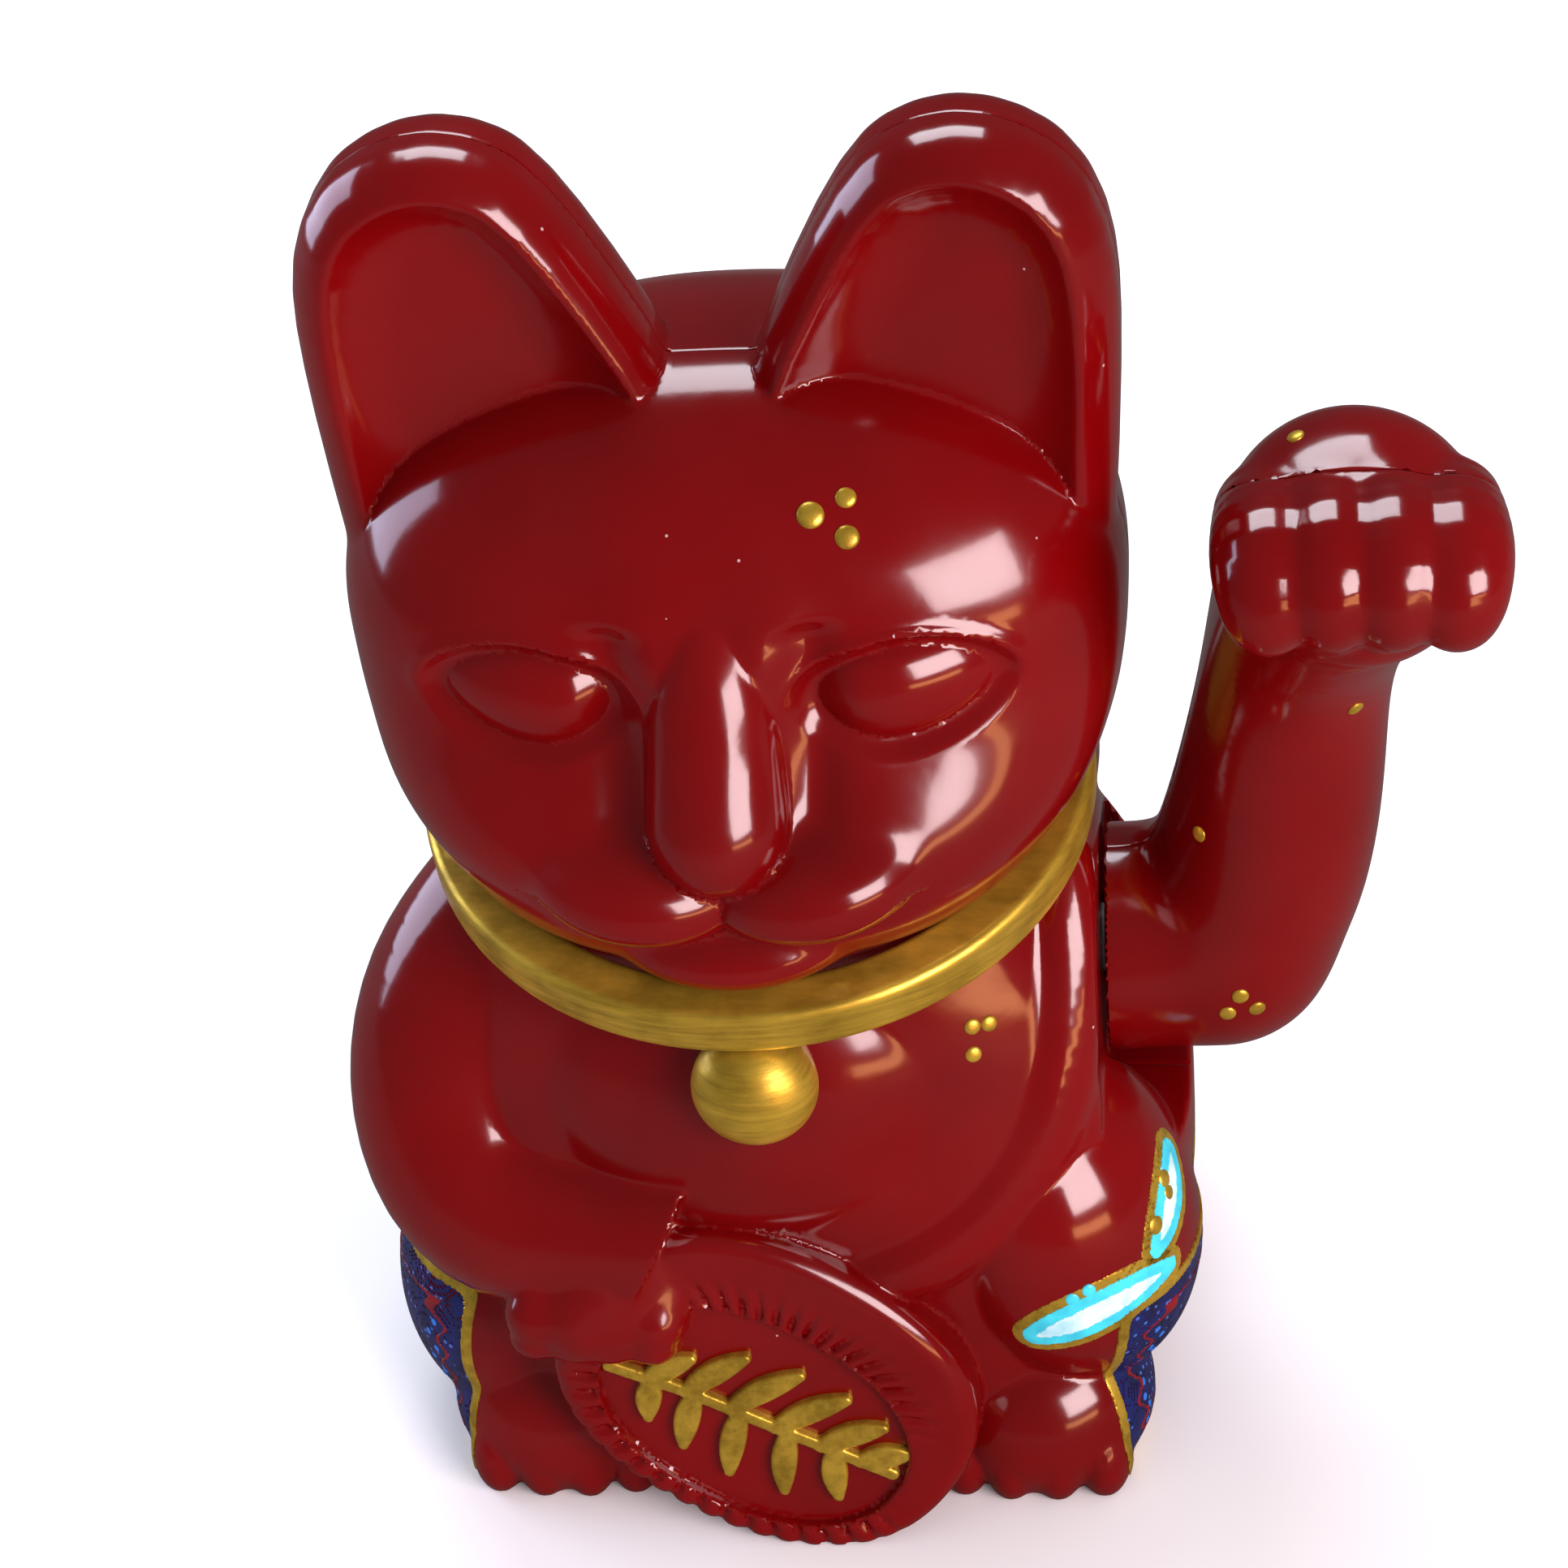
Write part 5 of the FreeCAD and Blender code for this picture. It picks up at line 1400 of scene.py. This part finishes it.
@dataclass(frozen=True)
class CoinSprig:
    """The raised gold sprig on the coin: a stem with leaves, in the coin's own plane.

    Attributes:
        cat: The form that the coin belongs to.
        top: Height of the sprig's top over the coin's face.
        root: Height of its underside.
        scale: How much larger it is than its pattern.
        middle: Where the pattern's middle lies on the coin.
    """

    cat: Cat = Cat()
    top: float = -0.3
    root: float = -2.4
    scale: float = 1.18
    middle: tuple[float, float] = (0.4, 0.2)

    STEM = ((-13.5, -5.2), (-6.0, -3.6), (2.0, -2.6), (13.5, -1.0))
    STEM_R = 0.62
    # (x, y, length, turn) of each leaf from its foot
    LEAVES = (
        (-10.0, -4.5, 4.6, 62.0), (-6.4, -3.7, 6.6, 68.0), (-2.2, -3.1, 7.4, 64.0), (2.2, -2.6, 7.2, 60.0),
        (6.6, -2.0, 6.0, 54.0), (10.4, -1.4, 4.4, 44.0), (-9.6, -4.4, 4.2, -64.0), (-5.6, -3.6, 5.8, -70.0),
        (-1.2, -3.0, 6.8, -68.0), (3.4, -2.4, 6.6, -62.0), (7.8, -1.8, 5.2, -54.0))

    def pattern(self, u: Array, v: Array) -> Array:
        """Returns the distance to the sprig's outline in the coin's plane."""
        d = np.full(u.shape, 1e3)
        for (ax, ay), (bx, by) in zip(self.STEM, self.STEM[1:]):
            length_squared = (bx - ax) ** 2 + (by - ay) ** 2
            t = np.clip(((u - ax) * (bx - ax) + (v - ay) * (by - ay)) / length_squared, 0, 1)
            d = np.minimum(d, np.hypot(u - ax - t * (bx - ax), v - ay - t * (by - ay)) - self.STEM_R)
        for x, y, length, turn in self.LEAVES:
            c, s = math.cos(math.radians(turn)), math.sin(math.radians(turn))
            a, b = (u - x) * c + (v - y) * s, (v - y) * c - (u - x) * s
            bow = b - 0.12 * a * (length - a) / length * math.copysign(1.0, turn)
            t = np.clip(a / length, 0, 1)
            width = 0.45 + 0.75 * np.sin(np.pi * np.clip(t * 0.92 + 0.06, 0, 1)) ** 0.8
            d = meet(d, np.hypot(a - t * length, bow) - width, 0.3)
        return d

    def form(self, p: Array) -> Array:
        """Returns the distance to the sprig."""
        u, v, w = self.cat.coin_place.local(p)
        a, b = (u - self.middle[0]) / self.scale, (v - self.middle[1]) / self.scale
        flat = self.pattern(a, b) * self.scale
        return keep(keep(flat, w - self.top, 0.7), self.root - w, 0.1)

    def build(self) -> None:
        """Casts the sprig."""
        obj = Casting("gold_coin_sprig", self.form, (-22.0, -43.0, -1.0), (18.0, -32.0, 36.0), 0.3).make()
        finish_piece(obj, "cat", GOLD_DABBED)


@dataclass(frozen=True)
class Film:
    """A thin coat of paint over part of the skin.

    Attributes:
        name: The piece's name.
        finish: Its surface finish.
        lift: How far it stands off the skin.
        region: A distance that is negative where the paint lies.
        low: Lowest corner of the space it lies in.
        high: Highest corner.
        cat: The form it lies on.
        bite: How deep it reaches into the skin.
        cell: Size of the grid's cells.
    """

    name: str
    finish: Finish
    lift: float
    region: Form
    low: Vec3
    high: Vec3
    cat: Cat = Cat()
    bite: float = 0.3
    cell: float = 0.28

    def form(self, p: Array) -> Array:
        """Returns the distance to the coat."""
        skin = self.cat.skin(p)
        return keep(keep(skin - self.lift, self.region(p), 0.1), -(skin + self.bite), 0.05)

    def build(self) -> None:
        """Casts the coat."""
        obj = Casting(self.name, self.form, self.low, self.high, self.cell).make()
        finish_piece(obj, "cat", self.finish)


@dataclass(frozen=True)
class Petals:
    """Two glazed petals with gold outlines on the thigh, each with a pale painted highlight along its middle.

    Attributes:
        cat: The form they lie on.
        rows: (x, y, z, half width) along each petal's middle.
        outline: Width of the gold round the glaze.
        rim: Width of the stronger colour round the pale painted highlight in the middle.
        place: Corners of the space they lie in.
    """

    cat: Cat = Cat()
    rows: tuple[tuple[tuple[float, float, float, float], ...], ...] = (
        ((26.4, -35.4, 24.2, 1.5), (29.6, -35.0, 26.0, 2.5), (34.0, -33.6, 27.8, 2.7),
         (38.0, -30.4, 28.6, 2.1), (40.6, -27.2, 28.4, 1.0)),
        ((39.4, -28.2, 31.6, 1.1), (40.2, -25.8, 33.2, 2.2), (41.2, -22.8, 35.4, 2.4),
         (41.6, -19.6, 37.6, 1.5)))
    outline: float = 1.1
    rim: float = 1.3
    place: tuple[Vec3, Vec3] = ((20.0, -40.0, 18.0), (46.5, -10.0, 42.0))

    def region(self, row: int, grow: float) -> Form:
        """Returns the form of a tube round one petal's middle, laid on the skin."""
        walk = np.array(self.rows[row])
        walk[:, :3] = settled(self.cat.skin, walk[:, :3], 6, 2.0)
        walk[:, 3] += grow
        return Sweep(tuple(tuple(float(v) for v in point) for point in walk), 4, 0.1).distance

    def build(self) -> None:
        """Casts both petals and their outlines."""
        for k, side in enumerate(("low", "high")):
            for name, finish, lift, grow in (("gold_petal_outline", GOLD_DABBED, 0.10, self.outline),
                                             ("glazed_petal", TURQUOISE, 0.18, 0.0),
                                             # The pale middle film is a painted highlight on the glaze.
                                             ("painted_highlight_petal_middle", PAINTED_PETAL_HIGHLIGHT, 0.22, -self.rim)):
                Film(f"{name}_{side}", finish, lift, self.region(k, grow), *self.place).build()


@dataclass(frozen=True)
class FlankPaint:
    """The dark blue panels on both lower flanks, with a gold edge and a red scalloped line.

    Attributes:
        corner: (x, y) of the panel's front edge.
        heights: Where the panel starts and ends.
        back_y: Where it ends towards the back.
        edge: Half width of the gold edge.
    """

    corner: tuple[float, float] = (35.0, -31.0)
    heights: tuple[float, float] = (1.4, 26.0)
    back_y: float = 16.0
    edge: float = 0.62

    def inward(self, p: Array) -> Array:
        """Returns how far each point lies behind the panel's front edge."""
        return (np.abs(p[:, 0]) - self.corner[0]) * 0.8 + (p[:, 1] - self.corner[1]) * 0.6

    def panel(self, p: Array) -> Array:
        """Returns the distance to the panel."""
        low, high = self.heights
        d = keep(-self.inward(p), p[:, 2] - high, 3.0)
        return keep(keep(d, low - p[:, 2], 3.0), p[:, 1] - self.back_y, 3.0)

    def border(self, p: Array) -> Array:
        """Returns the distance to the panel's edge."""
        return np.abs(self.panel(p)) - self.edge

    def scallops(self, p: Array) -> Array:
        """Returns the distance to the scalloped line that runs inside the edge."""
        return np.abs(-self.panel(p) - 3.4 - 0.7 * np.sin(p[:, 2] * 1.7 + p[:, 1] * 0.6)) - 0.34

    def build(self) -> None:
        """Casts the panels, their edges and their lines."""
        for side, low_x, high_x in (("left", -47.0, -28.0), ("right", 28.0, 47.0)):
            place = ((low_x, -38.0, -0.5), (high_x, self.back_y + 2.0, self.heights[1] + 2.0))
            for name, finish, lift, region in (("navy_flank", NAVY, 0.10, self.panel),
                                               ("gold_flank_edge", GOLD_DABBED, 0.18, self.border),
                                               ("red_flank_scallops", DEEP_RED, 0.16, self.scallops)):
                Film(f"{name}_{side}", finish, lift, region, *place).build()


class BeadTree:
    """A Geometry Nodes tree that sets a flattened bead on every point of a mesh.

    The points carry a "facing" vector and a "size" in metres.
    """

    def __init__(self) -> None:
        self.tree = bpy.data.node_groups.new("bead_on_each_point", "GeometryNodeTree")
        socket = self.tree.interface.new_socket
        socket(name="Points", in_out="INPUT", socket_type="NodeSocketGeometry")
        self.flatness = socket(name="Flatness", in_out="INPUT", socket_type="NodeSocketFloat").identifier
        self.paint = socket(name="Paint", in_out="INPUT", socket_type="NodeSocketMaterial").identifier
        socket(name="Beads", in_out="OUTPUT", socket_type="NodeSocketGeometry")
        start = self.node("NodeGroupInput")
        ball = self.node("GeometryNodeMeshUVSphere", {"Segments": 24, "Rings": 12, "Radius": 1.0})
        squash = self.node("ShaderNodeCombineXYZ", {"X": 1.0, "Y": 1.0, "Z": start.outputs["Flatness"]})
        bead = self.node("GeometryNodeTransform", {"Geometry": ball.outputs["Mesh"],
                                                   "Scale": squash.outputs[0]})
        facing_out = self.attribute("facing", "FLOAT_VECTOR")
        turn = self.node("FunctionNodeAlignRotationToVector", {"Vector": facing_out}, axis="Z")
        spread = self.node("GeometryNodeInstanceOnPoints", {
            "Points": start.outputs["Points"], "Instance": bead.outputs[0], "Rotation": turn.outputs[0],
            "Scale": self.attribute("size", "FLOAT")})
        real = self.node("GeometryNodeRealizeInstances", {"Geometry": spread.outputs[0]})
        smooth = self.node("GeometryNodeSetShadeSmooth", {"Geometry": real.outputs[0]})
        painted = self.node("GeometryNodeSetMaterial", {"Geometry": smooth.outputs[0],
                                                        "Material": start.outputs["Paint"]})
        self.node("NodeGroupOutput", {"Beads": painted.outputs[0]})

    def node(self, kind: str, inputs: dict[str, Any] | None = None, **settings: Any) -> bpy.types.Node:
        """Adds a node.

        Args:
            kind: The node's type.
            inputs: Values or outputs for its sockets, by name.
            **settings: The node's own properties.

        Returns:
            The node.
        """
        node = self.tree.nodes.new(kind)
        for key, value in settings.items():
            setattr(node, key, value)
        for key, value in (inputs or {}).items():
            if isinstance(value, bpy.types.NodeSocket):
                self.tree.links.new(value, node.inputs[key])
            else:
                node.inputs[key].default_value = value
        return node

    def attribute(self, name: str, kind: str) -> bpy.types.NodeSocket:
        """Returns the output that reads one attribute of the points."""
        node = self.node("GeometryNodeInputNamedAttribute", {"Name": name}, data_type=kind)
        return next(out for out in node.outputs if out.enabled and out.name == "Attribute")


@dataclass(frozen=True)
class Beads:
    """Small round dabs of paint on one moulding.

    Attributes:
        name: The piece's name.
        body: The CAD body it moves with.
        skin: The form the dabs sit on.
        finish: Their surface finish.
        rows: (x, y, z, radius) of each, settled on the skin when built.
        flatness: How far each stands out, as a share of its radius.
    """

    name: str
    body: str
    skin: Form
    finish: Finish
    rows: tuple[tuple[float, float, float, float], ...]
    flatness: float = 0.36

    def build(self, tree: BeadTree) -> None:
        """Sets the dabs on the skin."""
        rows = np.array(self.rows)
        places = settled(self.skin, rows[:, :3], 6, 2.0)
        mesh = bpy.data.meshes.new(self.name)
        mesh.from_pydata((places * MM).tolist(), [], [])
        facing_out = mesh.attributes.new("facing", "FLOAT_VECTOR", "POINT")
        facing_out.data.foreach_set("vector", slope(self.skin, places, 0.1).ravel())
        mesh.attributes.new("size", "FLOAT", "POINT").data.foreach_set("value", rows[:, 3] * MM)
        obj = link(mesh, self.name)
        beads = obj.modifiers.new("beads", "NODES")
        beads.node_group = tree.tree
        beads[tree.flatness] = self.flatness
        beads[tree.paint] = self.finish.material()
        solid = plain_copy(obj)
        obj.modifiers.clear()
        obj.data = solid
        solid.name = self.name
        finish_piece(obj, self.body, self.finish)


BEADS = (
    Beads("gold_beads_cat", "cat", Cat().skin, GOLD_DABBED, (
        (10.0, -20.4, 118.0, 1.3), (13.2, -18.9, 118.8, 1.0), (13.3, -21.5, 116.2, 1.15),
        (21.8, -26.0, 60.5, 0.85), (23.4, -25.3, 60.3, 0.85), (21.8, -27.0, 57.7, 0.85),
        (37.8, -22.1, 35.4, 1.05), (39.8, -23.3, 34.9, 0.95), (38.0, -26.2, 33.4, 1.1))),
    Beads("gold_beads_arm", "arm", WavingArm().skin, GOLD_DABBED, (
        (48.2, -11.6, 52.0, 0.9), (46.9, -11.5, 49.8, 0.9), (49.8, -11.1, 50.0, 0.9),
        (59.8, -11.4, 87.9, 0.85), (44.0, -8.2, 70.1, 0.85), (53.6, -10.4, 119.7, 0.85))),
    Beads("turquoise_beads", "cat", Cat().skin, TURQUOISE, (
        (30.8, -34.5, 30.0, 0.75), (32.6, -33.9, 30.8, 0.75))),
    Beads("sky_blue_beads", "cat", Cat().skin, SKY_BLUE, tuple(
        (side * (38.4 + 0.9 * (k % 2)), -28.0 + 0.6 * (k % 2), 5.2 + 1.9 * k, 0.5)
        for side in (-1.0, 1.0) for k in range(9))))


# ----------------------------------------------------------------------------- dressing and studio


class Dressing:
    """Gives every CAD node the finish of its material slot."""

    def __init__(self, frame: dict[str, Any]) -> None:
        self.nodes = frame["nodes"]
        self.by_slot = {finish.slot: finish for finish in NODE_FINISHES}

    def build(self) -> None:
        """Assigns the finishes."""
        for name in sorted(self.nodes):
            slots = self.nodes[name].material_slots
            for place in slots:
                finish = self.by_slot[place.material.name.split(".")[0]]
                place.material = finish.material()
            LOG.info("%s: %s", name, ", ".join(place.material.name for place in slots))


class Side(Enum):
    """Where a lamp stands, as its (x, y, z) place and what it looks at, in millimetres."""

    WINDOW = ((560.0, -520.0, 390.0), (5.0, -10.0, 85.0))
    WARM_LOW = ((520.0, -560.0, 90.0), (10.0, -10.0, 70.0))
    SKY_LEFT = ((-700.0, 260.0, 330.0), (0.0, 0.0, 80.0))
    TOP = ((-60.0, 420.0, 760.0), (0.0, 0.0, 80.0))


@dataclass(frozen=True)
class Lamp:
    """One soft rectangular lamp."""

    name: str
    side: Side
    size: tuple[float, float]
    watts: float
    colour: Colour

    def build(self) -> None:
        """Hangs the lamp."""
        data = bpy.data.lights.new(self.name, "AREA")
        data.shape = "RECTANGLE"
        data.size, data.size_y = (s * MM for s in self.size)
        data.energy = self.watts
        data.color = self.colour
        obj = bpy.data.objects.new(self.name, data)
        place, target = (np.array(v) * MM for v in self.side.value)
        obj.matrix_world = facing(place, target, 0.0)
        bpy.context.scene.collection.objects.link(obj)


def facing(place: Array, target: Array, roll: float) -> Matrix:
    """Returns the matrix of something at a place that looks at a target, rolled in degrees."""
    forward = (target - place) / np.linalg.norm(target - place)
    right = np.cross(forward, [0.0, 0.0, 1.0])
    right /= np.linalg.norm(right)
    up = np.cross(right, forward)
    c, s = math.cos(math.radians(roll)), math.sin(math.radians(roll))
    columns = np.stack([c * right + s * up, -s * right + c * up, -forward, place], 1)
    return Matrix([*columns.tolist(), [0.0, 0.0, 0.0, 1.0]])


@dataclass(frozen=True)
class Studio:
    """The pale floor, the lamps, the surroundings and the camera.

    Attributes:
        camera_place: Where the camera stands, in millimetres.
        camera_target: What it looks at.
        camera_roll: How far it is rolled, in degrees.
        lens: Its focal length in millimetres.
        floor_half: Half the floor's side, in metres.
        floor_z: The floor's height, in metres, a hair under the base.
        surroundings: Brightness of the white all round.
        surroundings_in_gloss: Its brightness as seen in the gloss.
        lamps: The lamps.
    """

    camera_place: Vec3 = (47.1, -290.6, 296.9)
    camera_target: Vec3 = (1.635, 0.003, 71.19)
    camera_roll: float = -6.4
    lens: float = 81.99
    floor_half: float = 2.4
    floor_z: float = -0.00006
    surroundings: float = 0.75
    surroundings_in_gloss: float = 0.07
    lamps: tuple[Lamp, ...] = (
        Lamp("window_lamp", Side.WINDOW, (460.0, 340.0), 6.8, (1.0, 0.80, 0.82)),
        Lamp("warm_low_lamp", Side.WARM_LOW, (420.0, 70.0), 0.7, (1.0, 0.45, 0.18)),
        Lamp("sky_lamp", Side.SKY_LEFT, (520.0, 520.0), 4.0, (0.72, 0.74, 1.0)),
        Lamp("top_lamp", Side.TOP, (520.0, 300.0), 4.0, (0.92, 0.93, 1.0)))

    def floor(self) -> None:
        """Lays the floor, which can't be seen from below and shows dark warm brown in the gloss, a painted
        dark reflection.
        """
        h = self.floor_half
        mesh = bpy.data.meshes.new("studio_floor")
        mesh.from_pydata([(-h, -h, self.floor_z), (h, -h, self.floor_z), (h, h, self.floor_z),
                          (-h, h, self.floor_z)], [], [(0, 1, 2, 3)])
        g = Graph("pale_floor")
        mottle = g.between(g.noise(14.0, 3.0), 0.3, 0.7, 0.0, 1.0)
        tone = g.blend(mottle, (0.90, 0.90, 0.90), (0.87, 0.87, 0.88))
        # Seen in glossy rays the floor turns dark warm brown: a painted dark reflection in the figurine's
        # lower gloss.
        gloss = g.add("ShaderNodeLightPath").outputs["Is Glossy Ray"]
        floor_with_dark_reflection = g.add("ShaderNodeBsdfDiffuse", {"Color": g.blend(gloss, tone, (0.10, 0.085, 0.08))})
        clear = g.add("ShaderNodeBsdfTransparent")
        back = g.add("ShaderNodeNewGeometry").outputs["Backfacing"]
        mixed = g.add("ShaderNodeMixShader", {0: back, 1: floor_with_dark_reflection.outputs[0], 2: clear.outputs[0]})
        g.add("ShaderNodeOutputMaterial", {"Surface": mixed.outputs[0]})
        mesh.materials.append(g.material)
        link(mesh, "studio_floor")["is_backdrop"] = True

    def world(self) -> None:
        """Surrounds the studio with white that the lamps outshine in the gloss."""
        world = bpy.data.worlds.new("studio_surroundings")
        bpy.context.scene.world = world
        world.use_nodes = True
        tree = world.node_tree
        background = tree.nodes["Background"]
        background.inputs["Color"].default_value = (0.93, 0.94, 1.0, 1.0)
        rays = tree.nodes.new("ShaderNodeLightPath")
        strength = tree.nodes.new("ShaderNodeMapRange")
        strength.inputs["To Min"].default_value = self.surroundings
        strength.inputs["To Max"].default_value = self.surroundings_in_gloss
        tree.links.new(rays.outputs["Is Glossy Ray"], strength.inputs["Value"])
        tree.links.new(strength.outputs[0], background.inputs["Strength"])

    def camera(self) -> None:
        """Sets up the camera."""
        data = bpy.data.cameras.new("studio_camera")
        data.lens, data.sensor_width = self.lens, 36.0
        data.clip_start, data.clip_end = 0.01, 20.0
        obj = bpy.data.objects.new("studio_camera", data)
        place, target = (np.array(v) * MM for v in (self.camera_place, self.camera_target))
        obj.matrix_world = facing(place, target, self.camera_roll)
        bpy.context.scene.collection.objects.link(obj)
        bpy.context.scene.camera = obj

    def build(self) -> None:
        """Sets up the studio."""
        self.floor()
        self.world()
        for lamp in self.lamps:
            lamp.build()
        self.camera()
        bpy.context.scene.view_settings.view_transform = "Standard"


def corners(box: Any) -> list[list[float]]:
    """Returns a box's corners as plain lists."""
    return [[float(x) for x in corner] for corner in box]


def main() -> None:
    """Builds the figurine and its studio."""
    logging.basicConfig(level=logging.INFO, format="%(name)s %(message)s")
    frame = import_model()
    cad_box = corners(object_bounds())
    Dressing(frame).build()
    BodyShells().build()
    ArmShells().build()
    GoldTrim().build()
    CoinSprig().build()
    Petals().build()
    FlankPaint().build()
    tree = BeadTree()
    for beads in BEADS:
        beads.build(tree)
    Studio().build()
    {"cad": cad_box, "visual": corners(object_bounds())}


if __name__ == "__main__":
    main()
